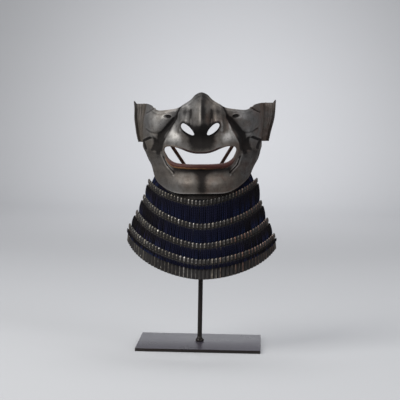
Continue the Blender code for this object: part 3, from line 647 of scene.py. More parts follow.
def chased_steps(x, z, what="height"):
    """Height, as a share of FACE_DEPTH, or grime and painted shade of the chased steps, with flat floors and
    soft edges.
    """
    across = np.abs(x) / CHEEK_HALF_WIDTH
    up = z / CHEEK_HALF_WIDTH
    total = 0
    for step in CHASED_STEPS:
        outline = in_widths(step["outline"])
        away = distance_to_path(across, up, closed(outline))
        signed = np.where(inside_outline(across, up, outline), away, -away)
        total = total + step[what] * soft_step(0.5 + signed / step["edge"] / 2)
    return total


def nose_crest(x, z):
    """Height of the sharp crest down the middle of the nose."""
    ends = soft_step((z - NOSE_CREST["low"]) / NOSE_CREST["fade"] + 0.5)
    ends = ends * soft_step((NOSE_CREST["high"] - z) / NOSE_CREST["fade"] + 0.5)
    return NOSE_CREST["height"] * ends * np.exp(-np.abs(x) / NOSE_CREST["width"])


def dirt_at(turn, z):
    """Grime and painted shade on the skin, negative for painted highlights: in the chased work and the
    patches, beside the nostrils and in the recesses.
    """
    x = half_width(z) * np.sin(turn)
    seen = np.abs(plain_skin(turn, z)[..., 0] - OPENINGS_SHIFT)
    nostril = distance_to_path(seen, z, closed(nostril_outline())) / NOSTRIL_SHADE_REACH
    recess = np.hypot((np.abs(x) - RECESS_X) / RECESS_WIDTH, (z - RECESS_Z) / RECESS_HEIGHT)
    dirt = lines(x, z, CHASED_LINES, "dirt") + chased_steps(x, z, "dirt")
    for patch in PATCHES:
        reach = patch["reach"]
        across = np.abs(x) / CHEEK_HALF_WIDTH
        aside = (across - patch["across"]) / reach[0]
        above = (z / FACE_HEIGHT - patch["up"]) * FACE_HEIGHT / CHEEK_HALF_WIDTH / reach[1]
        on_side = soft_step(0.5 + patch["side"] * x / PATCH_EDGE) if patch["side"] else 1
        dirt = dirt + patch["dirt"] * on_side * np.exp(-(aside**2) - above**2)
    # Painted shade round the nostrils and in the blind recesses
    return dirt + np.exp(-(nostril**4)) + np.exp(-((recess / RECESS_SHADE_REACH) ** 4))


def opening_rims(x, z):
    """Height of the raised rims round the nostrils and the mouth."""
    size = bpy.context.scene.guard_sizes
    nostril = distance_to_path(np.abs(x - OPENINGS_SHIFT), z, closed(nostril_outline()))
    mouth = distance_to_path(x, z, closed(mouth_edge()))
    return (size.nostril_rim * np.exp(-((nostril / NOSTRIL_RIM_REACH) ** 2))
            + MOUTH_RIM_HEIGHT * np.exp(-((mouth / MOUTH_RIM_REACH) ** 2)))


def recesses(x, z):
    """Depth of the two blind oval recesses, as a height below 0."""
    aside = (np.abs(x) - RECESS_X) / (RECESS_WIDTH / 2)
    above = (z - RECESS_Z) / (RECESS_HEIGHT / 2)
    share = (1 - np.hypot(aside, above)) * RECESS_HEIGHT / 2 / RECESS_EDGE
    return -RECESS_SINK * RECESS_DEPTH * soft_step(share + 0.5)


def raised_border(turn, z):
    """Height of the raised border along the top edge."""
    size = bpy.context.scene.guard_sizes
    below_top = top_edge(turn) - z
    inner, outer = BORDER_FADE
    faded = 1 - soft_step((np.abs(np.sin(turn)) - inner) / (outer - inner))
    return size.border_height * faded * soft_step((size.border_width - below_top) / BORDER_EDGE + 0.5)


def raised(turn, z, proud):
    """Points of the mask's form with a relief of given height: turn from the front, height above the chin."""
    side = np.sin(turn)
    depth = middle_depth(z) * np.maximum(1 - np.abs(side) ** ROUNDNESS, 0) ** (1 / ROUNDNESS)
    x = half_width(z) * side + proud * side
    return np.stack([x, BACK_EDGE - depth - proud * np.cos(turn), z + 0 * x], axis=-1)


def plain_skin(turn, z):
    """Points of the part's own outer skin, by which openings and lacing are placed."""
    x = half_width(z) * np.sin(turn)
    return raised(turn, z, nose_and_swellings(x, z) + FACE_DEPTH * lines(x, z, FURROWS))


def chased_skin(turn, z):
    """Points of the outer skin with all its chased work."""
    x = half_width(z) * np.sin(turn)
    proud = nose_and_swellings(x, z) + FACE_DEPTH * lines(x, z, FURROWS)
    seen = x + proud * np.sin(turn)
    proud = proud + FACE_DEPTH * (lines(x, z, CHASED_LINES) + chased_steps(x, z)) + nose_crest(x, z)
    proud = proud + opening_rims(seen, z) + recesses(x, z) + raised_border(turn, z)
    return raised(turn, z, proud)


def spread_sides(points):
    """Points of the mask with its sides spread a little, and the left one more, as hammering left them."""
    x = points[..., 0]
    z = points[..., 2]
    share = np.clip(np.abs(x) / half_width(z), 0, 1) ** 2
    left = smooth_through(SPREAD, "height", "left", z / FACE_HEIGHT)
    right = smooth_through(SPREAD, "height", "right", z / FACE_HEIGHT)
    spread = share * np.where(x < 0, -left, right)
    return points + np.stack([spread, 0 * x, 0 * x], axis=-1)


def settle_mask(bm):
    """Spread the sides of a piece made in the mask's frame, and hang it on the stand."""
    spots = spread_sides(np.array([v.co for v in bm.verts]))
    for vert, spot in zip(bm.verts, spots):
        vert.co = spot
    bmesh.ops.transform(bm, matrix=mask_frame(), verts=bm.verts)


def turn_at(x, z):
    """Turn from the front of the skin's points seen from the front at x, z."""
    side = x / half_width(z)
    for _ in range(TURN_ROUNDS):
        near = half_width(z) * side
        proud = nose_and_swellings(near, z) + FACE_DEPTH * lines(near, z, FURROWS)
        side = x / (half_width(z) + proud)
    return np.arcsin(np.clip(side, -1, 1))


def chin_flange(turn, share):
    """Points of the chin flange's outer face: share 0 at its root under the jaw edge, 1 at its foot."""
    root = plain_skin(turn, FACE_HEIGHT * jaw(turn, "height"))
    inset = CHIN_FLANGE_INSET * jaw(turn, "inset")
    drop = share * CHIN_FLANGE_DROP * jaw(turn, "drop")
    return root + np.stack([-np.sin(turn) * inset, np.cos(turn) * inset, -drop + 0 * inset], axis=-1)


@functools.cache
def mouth_outline():
    """Closed outline of the mouth, as points (x, z, lip radius), from the middle of the upper lip round."""
    right = [
        (MOUTH_HALF_WIDTH * across, FACE_HEIGHT * height, LIP_RADIUS * lip)
        for across, height, lip in zip(MOUTH["across"], MOUTH["height"], MOUTH["lip"])
    ]
    left = [(-x, z, radius) for x, z, radius in right[-2:0:-1]]
    ring = np.array(right + left) + (OPENINGS_SHIFT, 0, 0)
    count = len(ring)
    rounded = []
    for n in range(count * OUTLINE_STEPS):
        knot, share = divmod(n, OUTLINE_STEPS)
        t = share / OUTLINE_STEPS
        before, here, after, beyond = (ring[(knot + k) % count] for k in (-1, 0, 1, 2))
        lean = (after - before) / 2
        next_lean = (beyond - here) / 2
        rounded.append((2 * t**3 - 3 * t**2 + 1) * here + (t**3 - 2 * t**2 + t) * lean
                       + (3 * t**2 - 2 * t**3) * after + (t**3 - t**2) * next_lean)
    return np.array(rounded)


@functools.cache
def mouth_edge():
    return [(x, z) for x, z, _ in mouth_outline()]


@functools.cache
def nostril_outline():
    """Drop-shaped outline of the right nostril, blunt at its upper outer end."""
    outline = []
    for n in range(NOSTRIL_POINTS):
        angle = 2 * math.pi * n / NOSTRIL_POINTS
        along = NOSTRIL_LENGTH / 2 * math.cos(angle)
        across = NOSTRIL_PLUMPER * NOSTRIL_WIDTH / 2 * math.sin(angle)
        across *= 1 + NOSTRIL_BLUNTNESS * math.cos(angle)
        x = NOSTRIL_X + along * math.cos(NOSTRIL_ANGLE) - across * math.sin(NOSTRIL_ANGLE)
        z = NOSTRIL_Z - NOSTRIL_DROP + along * math.sin(NOSTRIL_ANGLE) + across * math.cos(NOSTRIL_ANGLE)
        outline.append((x, z))
    return outline


def mask_frame():
    hung = Matrix.Translation((MASK_SHIFT, 0, CHIN_HEIGHT)) @ Matrix.Rotation(GUARD_TURN, 4, "Z")
    return hung @ Matrix.Rotation(-MASK_TILT, 4, "Y")


def guard_frame():
    return Matrix.Translation((GUARD_SHIFT, 0, 0)) @ Matrix.Rotation(GUARD_TURN, 4, "Z")


@functools.cache
def rim(name):
    """Half width, front, height, rise, skew and swing power of a rim, from the steps down to it."""
    middle = chin_flange(np.array(0.0), 1)
    found = {"half_width": chin_flange(np.array(CHIN_FLANGE_TURN), 1)[0], "front": -middle[1],
             "height": CHIN_HEIGHT + middle[2]}
    for step_name, step in RIM_STEPS.items():
        found["half_width"] += step["wider"]
        found["front"] += step["forward"]
        found["height"] -= step["below"]
        if step_name == name:
            break
    power = HEM_RISE_POWER if name == "hem" else RISE_POWER
    return {**found, "rise": step["rise"], "skew": step["skew"], "power": power}


def rim_height(edge, turn):
    """Height of a rim at turns from the front, in the throat guard's frame."""
    swing = (1 - np.cos(turn)) / (1 - math.cos(LAME_END))
    across = np.sin(turn) / math.sin(LAME_END)
    return edge["height"] + edge["rise"] * swing ** edge["power"] + edge["skew"] * across


def lame_bottom(name):
    """Bottom rim of a lame: the hem on the lowest one, else tucked inside the next lame down."""
    names = list(RIM_STEPS)
    below = names[names.index(name) + 1]
    edge = rim(below)
    if below == "hem":
        return edge
    tuck = LAME_WALL + LACE_THICKNESS + 2 * GAP
    return {**edge, "half_width": edge["half_width"] - tuck, "front": edge["front"] - tuck,
            "height": edge["height"] - LAME_OVERLAP}


def lame_points(name, turn, down, inset):
    """Points on a lame: turn from the front, share of its height below the top edge, inset from its face."""
    top = rim(name)
    bottom = lame_bottom(name)
    high = rim_height(top, turn)
    low = rim_height(bottom, turn)
    width = top["half_width"] + (bottom["half_width"] - top["half_width"]) * down - inset
    reach = LAME_CENTRE + top["front"] + (bottom["front"] - top["front"]) * down - inset
    x = width * np.sin(turn) / math.sin(LAME_END)
    return np.stack([x, LAME_CENTRE - reach * np.cos(turn), high + (low - high) * down + 0 * x], axis=-1)


def lame_height(name, turn):
    return rim_height(rim(name), turn) - rim_height(lame_bottom(name), turn)


def scale_count(name):
    """Scales in a lame: the length of its top edge over the pitch."""
    turn = LAME_END * np.linspace(-1, 1, ARC_STEPS + 1)
    points = lame_points(name, turn, 0, 0)
    return round(float(np.linalg.norm(np.diff(points, axis=0), axis=1).sum()) / SCALE_PITCH)


def finish_piece(name, bm, materials, node):
    """Finish a bmesh as a piece of the object that rides on the root body and stands for a node."""
    mesh = bpy.data.meshes.new(name)
    bm.to_mesh(mesh)
    bm.free()
    mesh.shade_smooth()
    mesh.set_sharp_from_angle(angle=SHARP_ANGLE)
    for material in materials:
        mesh.materials.append(material)
    piece = bpy.data.objects.new(name, mesh)
    bpy.context.collection.objects.link(piece)
    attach(piece, "root")
    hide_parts(node)
    return piece


def roll(bm, rings, endless=False, values=None):
    """Roll a grid up round rings of points, close its seam and its ends, and note values at its points."""
    along, around = rings.shape[:2]
    columns = along if endless else along - 1
    made = bmesh.ops.create_grid(bm, x_segments=columns, y_segments=around, size=1, calc_uvs=True)["verts"]
    notes = {name: bm.verts.layers.float.get(name) for name in values or {}}
    for vert in made:
        column = round((vert.co.x + 1) / 2 * columns) % along
        point = round((vert.co.y + 1) / 2 * around) % around
        vert.co = rings[column, point]
        for name, layer in notes.items():
            vert[layer] = values[name][column, point]
    bmesh.ops.remove_doubles(bm, verts=made, dist=SEAM)
    if not endless:
        ends = {e for v in made if v.is_valid for e in v.link_edges if e.is_boundary}
        bmesh.ops.holes_fill(bm, edges=list(ends), sides=0)


def pierce(bm, outline):
    """Cut an opening in the flat sheet: drop the faces inside and draw the border onto the outline."""
    centres = np.array([f.calc_center_median() for f in bm.faces])
    seen = plain_skin(centres[:, 0] / CHEEK_HALF_WIDTH, centres[:, 1])
    inside = inside_outline(seen[:, 0], seen[:, 2], outline)
    doomed = [face for face, gone in zip(bm.faces, inside) if gone]
    touched = {v for f in doomed for v in f.verts}
    bmesh.ops.delete(bm, geom=doomed, context="FACES")
    border = [v for v in touched if v.is_valid]
    co = np.array([v.co for v in border])
    spots = plain_skin(co[:, 0] / CHEEK_HALF_WIDTH, co[:, 1])
    x, z = nearest_on(outline, spots[:, 0], spots[:, 2])
    opening = bm.verts.layers.float["opening"]
    for vert, turn, height in zip(border, turn_at(x, z), z):
        vert.co = (turn * CHEEK_HALF_WIDTH, height, 0)
        vert[opening] = 1
    near = set(border)
    for _ in range(RELAX_RINGS):
        near |= {other for v in near for edge in v.link_edges for other in edge.verts}
    loose = [v for v in near if not v.is_boundary]
    for _ in range(RELAX_RINGS):
        bmesh.ops.smooth_vert(bm, verts=loose, factor=0.5, use_axis_x=True, use_axis_y=True)


def flat_sheet():
    """The mask's skin laid flat, turn across and height up, with its openings."""
    bm = bmesh.new()
    bmesh.ops.create_grid(bm, x_segments=PLATE_COLUMNS, y_segments=PLATE_ROWS, size=1)
    bm.verts.layers.float.new("opening")
    co = np.array([v.co for v in bm.verts])
    turn = QUARTER * co[:, 0] * (MIDDLE_SPACING + (1 - MIDDLE_SPACING) * np.abs(co[:, 0]))
    low = FACE_HEIGHT * jaw(turn, "height")
    height = low + (top_edge(turn) - low) * (co[:, 1] + 1) / 2
    for vert, across, up in zip(bm.verts, turn * CHEEK_HALF_WIDTH, height):
        vert.co = (across, up, 0)
    pierce(bm, mouth_edge())
    for side in (-1, 1):
        pierce(bm, [(side * x + OPENINGS_SHIFT, z) for x, z in nostril_outline()])
    return bm


def extrude_border(bm, edges):
    """Extrude border edges once, and give back the new edges and points."""
    grown = bmesh.ops.extrude_edge_only(bm, edges=edges)["geom"]
    new_edges = [g for g in grown if isinstance(g, bmesh.types.BMEdge)]
    return new_edges, [g for g in grown if isinstance(g, bmesh.types.BMVert)]


def add_side_flange(bm, side, edges, root, dirt):
    """Web and rim of one side flange, with pleats down the web and a horn at the rim's top."""
    foot = FLANGE_START
    top = float(top_edge(QUARTER))
    pleat_height = bpy.context.scene.guard_sizes.pleat_height
    for step in range(1, WEB_STEPS + RIM_COLUMNS + 1):
        edges, verts = extrude_border(bm, edges)
        web = min(step / WEB_STEPS, 1)
        rim_share = max(step - WEB_STEPS, 0) / RIM_COLUMNS
        pleats = sum(math.exp(-(((web - ridge) / FLANGE_RIDGE_WIDTH) ** 2)) for ridge in FLANGE_RIDGES)
        for vert in verts:
            start = vert[root]
            rise = min(max((start.z - foot) / (top - foot), 0), 1)
            width = FLANGE_FOOT[side] + (SIDE_FLANGE_WIDTH - FLANGE_FOOT[side]) * rise
            out = (width - SIDE_RIM) * web + SIDE_RIM * rim_share
            forward = SIDE_RIM * rim_share + pleat_height * pleats * (web < 1)
            horn = SIDE_HORN * rise**HORN_SHARPNESS * rim_share
            vert.co = start + Vector((side * out, -forward, horn))
            # Painted darker on the web between the pleats and on the rim
            vert[dirt] = WEB_DARKENING * (1 - min(pleats, 1)) * (web < 1) + RIM_DARKENING * rim_share


def add_chin_flange(bm, edges, root, turned, dirt):
    """Extrude the jaw edge inwards and then down, from one side round the chin to the other."""
    for step in range(1, CHIN_STEPS_IN + CHIN_STEPS_DOWN + 1):
        edges, verts = extrude_border(bm, edges)
        inward = min(step / CHIN_STEPS_IN, 1)
        down = max(step - CHIN_STEPS_IN, 0) / CHIN_STEPS_DOWN
        turns = np.array([v[turned] for v in verts])
        for vert, spot in zip(verts, chin_flange(turns, down)):
            vert.co = vert[root].lerp(Vector(spot), inward)
            # Painted shade: the chin flange lies under the chin
            vert[dirt] = CHIN_FLANGE_SHADE


def soften_flange_roots(bm):
    """Ease the corners where the cheeks run out into their flanges."""
    near = []
    for vert in bm.verts:
        beside = abs(abs(vert.co.x) - CHEEK_HALF_WIDTH) < FLANGE_BLEND and vert.co.y > -FLANGE_BLEND
        if beside and vert.co.z > FLANGE_START and not vert.is_boundary:
            near.append(vert)
    for _ in range(FLANGE_BLEND_ROUNDS):
        bmesh.ops.smooth_vert(bm, verts=near, factor=0.5, use_axis_x=True, use_axis_y=True, use_axis_z=False)


def wear_of(bm):
    """How far each point stands proud of the smoothed sheet, or lies sunk in it, in wear depths."""
    smoothed = bm.copy()
    for _ in range(WEAR_ROUNDS):
        bmesh.ops.smooth_vert(smoothed, verts=smoothed.verts, factor=0.5, use_axis_x=True,
                              use_axis_y=True, use_axis_z=True)
    bm.normal_update()
    wear = [(v.co - s.co).dot(v.normal) / WEAR_DEPTH for v, s in zip(bm.verts, smoothed.verts)]
    smoothed.free()
    return wear


def mask_sheet():
    """The mask's outer face as an open sheet: the chased skin with its side flanges and chin flange."""
    bm = flat_sheet()
    root = bm.verts.layers.float_vector.new("root")
    turned = bm.verts.layers.float.new("turned")
    dirt = bm.verts.layers.float.new("dirt")
    co = np.array([v.co for v in bm.verts])
    turn = co[:, 0] / CHEEK_HALF_WIDTH
    low = FACE_HEIGHT * jaw(turn, "height")
    spots = chased_skin(turn, co[:, 1])
    # Grime and painted shade at each point, negative where highlights are painted
    dirt_and_shade_map = dirt_at(turn, co[:, 1])
    on_jaw = set()
    for vert, angle, up, jaw_edge, spot, dark in zip(bm.verts, turn, co[:, 1], low, spots, dirt_and_shade_map):
        vert[root] = spot
        vert[turned] = angle
        vert[dirt] = dark
        vert.co = spot
        if abs(up - jaw_edge) < SEAM and abs(angle) < CHIN_FLANGE_TURN:
            on_jaw.add(vert)
    for side in (-1, 1):
        back = [e for e in bm.edges if all(abs(v[turned] - side * QUARTER) < BACK_SEAM for v in e.verts)]
        back = [e for e in back if min(v.co.z for v in e.verts) > FLANGE_START]
        add_side_flange(bm, side, back, root, dirt)
    soften_flange_roots(bm)
    jaw_edges = [e for e in bm.edges if e.is_boundary and on_jaw.issuperset(e.verts)]
    add_chin_flange(bm, jaw_edges, root, turned, dirt)
    bmesh.ops.recalc_face_normals(bm, faces=bm.faces)
    front = min(bm.faces, key=lambda face: face.calc_center_median().y)
    if front.normal.y > 0:
        bmesh.ops.reverse_faces(bm, faces=bm.faces)
    bm.verts.layers.float_vector.remove(bm.verts.layers.float_vector["root"])
    bm.verts.layers.float.remove(bm.verts.layers.float["turned"])
    return bm


def add_inner_wall(bm):
    """Grow the sheet inwards by the wall, softened inside, with the lacquered inside as second material."""
    worn = bm.verts.layers.float.new("worn")
    for vert, wear in zip(bm.verts, wear_of(bm)):
        vert[worn] = min(max(wear, -1), 1)
    inward = bm.verts.layers.float_vector.new("inward")
    opening = bm.verts.layers.float["opening"]
    for vert in bm.verts:
        vert[inward] = (0, WALL * OPENING_DEPTH, 0) if vert[opening] else -WALL * vert.normal
    sheet = [*bm.verts, *bm.edges, *bm.faces]
    grown = bmesh.ops.extrude_face_region(bm, geom=sheet, use_keep_orig=True)["geom"]
    inner = [g for g in grown if isinstance(g, bmesh.types.BMVert)]
    inner_faces = {g for g in grown if isinstance(g, bmesh.types.BMFace)}
    for vert in inner:
        vert.co += vert[inward]
    free = [v for v in inner if inner_faces.issuperset(v.link_faces)]
    for _ in range(INNER_ROUNDS):
        bmesh.ops.smooth_vert(bm, verts=free, factor=0.5, use_axis_x=True, use_axis_y=True, use_axis_z=True)
    for face in inner_faces:
        face.material_index = 1
    bm.verts.layers.float_vector.remove(bm.verts.layers.float_vector["inward"])
    bm.verts.layers.float.remove(bm.verts.layers.float["opening"])
    bmesh.ops.recalc_face_normals(bm, faces=bm.faces)


def lip_rings():
    """Rings of the rolled lip round the mouth, how gilt each point is and how far it is the lower lip."""
    x, z, radius = mouth_outline().T
    lower = soft_step((LIP_SPLIT - z) / LIP_BLEND)
    z = z - LIP_DROP * lower
    radius = radius * (UPPER_LIP + (LOWER_LIP - UPPER_LIP) * lower)
    centre = plain_skin(turn_at(x, z), z)
    run = np.roll(centre, -1, axis=0) - np.roll(centre, 1, axis=0)
    run /= np.linalg.norm(run, axis=1, keepdims=True)
    aside = np.cross(run, (0, -1, 0))
    aside /= np.linalg.norm(aside, axis=1, keepdims=True)
    forward = np.cross(aside, run)
    angle = 2 * math.pi * (np.arange(LIP_SIDES) + 0.5) / LIP_SIDES
    spread = aside[:, None] * np.cos(angle)[:, None] + forward[:, None] * np.sin(angle)[:, None]
    rings = centre[:, None] + spread * radius[:, None, None]
    facing_down = np.clip(-spread[..., 2], 0, 1) * lower[:, None]
    return rings, {"gilt": facing_down, "lower": lower[:, None] + 0 * facing_down}


def lame_rings(name, tones):
    """Rings of a lame of narrow scales, with how bright each point's edge is rubbed and each scale's tone."""
    scales = scale_count(name)
    column = np.arange(scales * SCALE_COLUMNS + 1)
    turn = (LAME_END * (2 * column / column[-1] - 1))[:, None]
    phase = ((column % SCALE_COLUMNS) / SCALE_COLUMNS)[:, None]
    height = lame_height(name, turn)
    plain = soft_step((np.abs(turn) - (LAME_END - END_PLATE)) / END_PLATE * 4 + 0.5)
    valley = (1 - np.sin(math.pi * phase) ** RIB_ROUNDING) * (1 - plain)
    crest = np.sin(math.pi * phase) ** CREST_SHARPNESS * (1 - plain)
    notch = HEAD_NOTCH * ((1 - phase) * (1 - plain) + END_DROP * plain)
    head = {key: np.array([row[key] for row in HEAD_PROFILE])[None] for key in HEAD_PROFILE[0]}
    fade = 1 - soft_step(head["down"] / HEAD_HEIGHT)
    down = (head["down"] + notch * fade) / height
    inset = head["inset"] + head["valley"] * valley
    face = np.linspace(0, 1, FACE_ROWS)[None]
    face_down = (FACE_START + face * (height - FACE_START - EDGE_ROUNDING)) / height
    face_inset = RIB_DEPTH * RIB_SINK * valley + 0 * face
    under = face_inset[:, :1] + EDGE_ROUNDING
    rows_down = [down, face_down, 1 + 0 * turn, 1 + 0 * turn, 1 - EDGE_ROUNDING / height, 0.5 + 0 * turn,
                 (notch + EDGE_ROUNDING * 2) / height, notch / height]
    back = LAME_WALL + 0 * turn
    rows_inset = [inset, face_inset, under, back - EDGE_ROUNDING, back, back, back, back - EDGE_ROUNDING]
    unseen = np.zeros((len(column), len(rows_down) - 2))
    rubbed = np.concatenate([head["rubbed"] * crest, FACE_RUB * crest + 0 * face, unseen], axis=1)
    rings = lame_points(name, turn, np.concatenate(rows_down, axis=1), np.concatenate(rows_inset, axis=1))
    scale_of = np.minimum(column // SCALE_COLUMNS, scales - 1)
    tone = np.array([tones.random() for _ in range(scales)])[scale_of][:, None] + 0 * rings[..., 0]
    return rings, {"rubbed": rubbed, "tone": tone, "plain": plain + 0 * tone}


def braid_rings(centres, across, half):
    """Rings of one flat braid along its middle line, lying with its width across the row."""
    along = np.gradient(centres, axis=0)
    along /= np.linalg.norm(along, axis=1, keepdims=True)
    out = np.cross(across, along)
    out /= np.linalg.norm(out, axis=1, keepdims=True)
    angle = 2 * math.pi * np.arange(LACE_SIDES) / LACE_SIDES
    wide = np.sign(np.cos(angle)) * np.abs(np.cos(angle)) ** LACE_SQUARENESS
    thick = np.sign(np.sin(angle)) * np.abs(np.sin(angle)) ** LACE_SQUARENESS
    half_thick = (LACE_THICKNESS / 2 - LACE_CLEARANCE) * BRAID_ENDS
    spread = across[:, None] * wide[:, None] * (half * BRAID_WIDTHS)[:, None, None]
    return centres[:, None] + spread + out[:, None] * thick[:, None] * half_thick[:, None, None]


def add_braids(bm, line_of, count, rng, wider):
    """Lay a row of braids side by side, each along the line that line_of gives for its place in the row."""
    size = bpy.context.scene.guard_sizes
    bm.verts.layers.float.new("tone")
    bm.loops.layers.uv.new("braid")
    spot = np.linspace(0, 1, LACE_STEPS + 1)
    for n in range(count):
        shift = rng.uniform(-1, 1) * LACE_WANDER
        place = (n + 0.5 + shift) / count
        sway = LACE_WANDER / count * rng.uniform(-1, 1) * np.sin(spot * math.pi)
        reach = 1 - rng.uniform(0, 1) * LACE_SHORTFALL
        centres = line_of(place + sway, spot * reach)
        across = line_of(place + sway + LACE_PROBE, spot * reach) - centres
        across /= np.linalg.norm(across, axis=1, keepdims=True)
        half = wider * size.lace_width / 2 * (1 + rng.uniform(-1, 1) * LACE_UNEVEN)
        rings = braid_rings(centres, across, half)
        roll(bm, rings, values={"tone": np.full(rings.shape[:2], rng.random())})


def hanging_line(lame):
    """Line of a braid over a lame's face, from below its heads to the heads of the lame below."""
    last = lame == LAMES[-1]

    def line(place, share):
        turn = LAME_END * (2 * place - 1) * ROW_SPREAD
        height = lame_height(lame, turn)
        start = SHORT_ROW["top"] if last else (HEAD_HEIGHT + GAP) / height
        end = SHORT_ROW["bottom"] if last else 1 - (LAME_OVERLAP - LACE_SEAT) / height
        inset = -GAP - LACE_THICKNESS / 2 - LACE_BULGE * np.sin(share * math.pi) * (not last)
        return lame_points(lame, turn, start + (end - start) * share, inset)
    return line


def top_line():
    """Line of a braid from the inside of the chin flange down to the inside of the first lame's heads."""
    to_guard = np.array(guard_frame().inverted() @ mask_frame())

    def line(place, share):
        spread = (2 * place - 1) * TOP_LACING_SPREAD
        turn = CHIN_FLANGE_TURN * spread
        end_turn = LAME_END * spread
        inward = np.stack([-np.sin(turn), np.cos(turn), 0 * turn], axis=-1)
        inward *= WALL + GAP + LACE_THICKNESS / 2
        foot = chin_flange(turn, 1) + inward + np.array((0, 0, TOP_LACING_RISE))
        foot = spread_sides(foot) @ to_guard[:3, :3].T + to_guard[:3, 3]
        down = LACE_SEAT / lame_height(LAMES[0], end_turn)
        low = lame_points(LAMES[0], end_turn, down, LAME_WALL + GAP + LACE_THICKNESS / 2)
        return foot + (low - foot) * share[:, None]
    return line


def lathe(bm, profile, steps=LATHE_STEPS, place=None):
    """Turn a half profile of (radius, height) points round the Z axis, and put it in place."""
    before = set(bm.verts)
    verts = [bm.verts.new((radius, 0, height)) for radius, height in profile]
    edges = [bm.edges.new(pair) for pair in zip(verts, verts[1:])]
    bmesh.ops.spin(bm, geom=verts + edges, cent=(0, 0, 0), axis=(0, 0, 1), angle=math.tau, steps=steps,
                   use_merge=True)
    bmesh.ops.remove_doubles(bm, verts=[v for v in bm.verts if v not in before], dist=SEAM)
    made = [v for v in bm.verts if v not in before]
    bmesh.ops.recalc_face_normals(bm, faces=list({f for v in made for f in v.link_faces}))
    if place is not None:
        bmesh.ops.transform(bm, matrix=place, verts=made)


def rounded_end(radius, height, corner, direction):
    """Half profile points of a rounded corner, from the outside over to the flat end."""
    points = []
    for n in range(CORNER_STEPS + 1):
        angle = QUARTER * n / CORNER_STEPS
        points.append((radius - corner + corner * math.cos(angle),
                       height - direction * (corner - corner * math.sin(angle))))
    return points


def along_run(start, end):
    """Matrix that puts the Z axis along the run from start to end, from start on."""
    return Matrix.Translation(start) @ (end - start).to_track_quat("Z", "Y").to_matrix().to_4x4()


def inner_wall_at(side, crotch):
    """Where an arm meets the inside of the mask, and the way the wall faces there."""
    lean = ARM_SPREAD * side - FORK_LEAN
    direction = Vector((math.tan(lean), -math.tan(ARM_FORWARD), 1)).normalized()
    bm = bmesh.new()
    bm.from_mesh(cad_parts["face_plate"].data)
    spot, normal, _, _ = BVHTree.FromBMesh(bm).ray_cast(crotch, direction)
    bm.free()
    return spot, normal


class Tone:
    """A shader output that Python's own operators work on, each adding the node it stands for."""

    def __init__(self, finish, output):
        self.finish = finish
        self.output = output

    def __add__(self, other):
        return self.finish.maths("ADD", self, other)

    def __radd__(self, other):
        return self.finish.maths("ADD", other, self)

    def __sub__(self, other):
        return self.finish.maths("SUBTRACT", self, other)

    def __rsub__(self, other):
        return self.finish.maths("SUBTRACT", other, self)

    def __mul__(self, other):
        return self.finish.maths("MULTIPLY", self, other)

    def __rmul__(self, other):
        return self.finish.maths("MULTIPLY", other, self)

    def __abs__(self):
        return self.finish.maths("ABSOLUTE", self)


class Finish:
    """A material being made: its nodes all come from node(), and finish_with() feeds its shader."""

    def __init__(self, name):
        self.material = bpy.data.materials.new(name)
        self.material.use_nodes = True
        self.tree = self.material.node_tree
        self.shader = self.tree.nodes["Principled BSDF"]

    def node(self, kind, settings=None, values=None, output=0):
        """Any node: its type, its settings, its sockets' values or links, and the output that is used."""
        made = self.tree.nodes.new(kind)
        for key, value in (settings or {}).items():
            if key == "stops":
                self.set_stops(made.color_ramp, value)
            else:
                setattr(made, key, value)
        for key, value in (values or {}).items():
            self.feed(next(s for s in made.inputs if key in (s.identifier, s.name)), value)
        if isinstance(output, str):
            return Tone(self, next(s for s in made.outputs if output in (s.identifier, s.name)))
        return Tone(self, made.outputs[output])

    def set_stops(self, ramp, stops):
        while len(ramp.elements) < len(stops):
            ramp.elements.new(1)
        for element, (position, colour) in zip(ramp.elements, stops):
            element.position = position
            element.color = (*colour, 1)

    def feed(self, socket, value):
        if isinstance(value, Tone):
            self.tree.links.new(value.output, socket)
        elif socket.type == "RGBA":
            socket.default_value = (*value, 1)
        else:
            socket.default_value = value

    def maths(self, operation, first, second=0):
        return self.node("ShaderNodeMath", {"operation": operation}, {"Value": first, "Value_001": second})

    def place(self):
        return self.node("ShaderNodeTexCoord", output="Object")

    def split(self, vector, axis):
        return self.node("ShaderNodeSeparateXYZ", values={"Vector": vector}, output=axis)

    def noise(self, place, scale, detail=3, roughness=0.5):
        return self.node("ShaderNodeTexNoise", values={
            "Vector": place, "Scale": scale, "Detail": detail, "Roughness": roughness})

    def step(self, value, low, high):
        """0 where the value is under low, 1 over high, smooth between."""
        return self.node("ShaderNodeMapRange", {"interpolation_type": "SMOOTHSTEP"},
                         {"Value": value, "From Min": low, "From Max": high})

    def noted(self, name):
        return self.node("ShaderNodeAttribute", {"attribute_name": name}, output="Fac")

    def mix(self, share, first, second, blend="MIX"):
        return self.node("ShaderNodeMix", {"data_type": "RGBA", "blend_type": blend},
                         {"Factor_Float": share, "A_Color": first, "B_Color": second}, "Result_Color")

    def ramp(self, share, stops):
        return self.node("ShaderNodeValToRGB", {"stops": stops}, {"Fac": share})

    def bump(self, height, distance, strength=1.0, under=None):
        values = {"Height": height, "Distance": distance, "Strength": strength}
        if under is not None:
            values["Normal"] = under
        return self.node("ShaderNodeBump", values=values)

    def finish_with(self, **sockets):
        for name, value in sockets.items():
            self.feed(self.shader.inputs[name.replace("_", " ")], value)
        return self.material


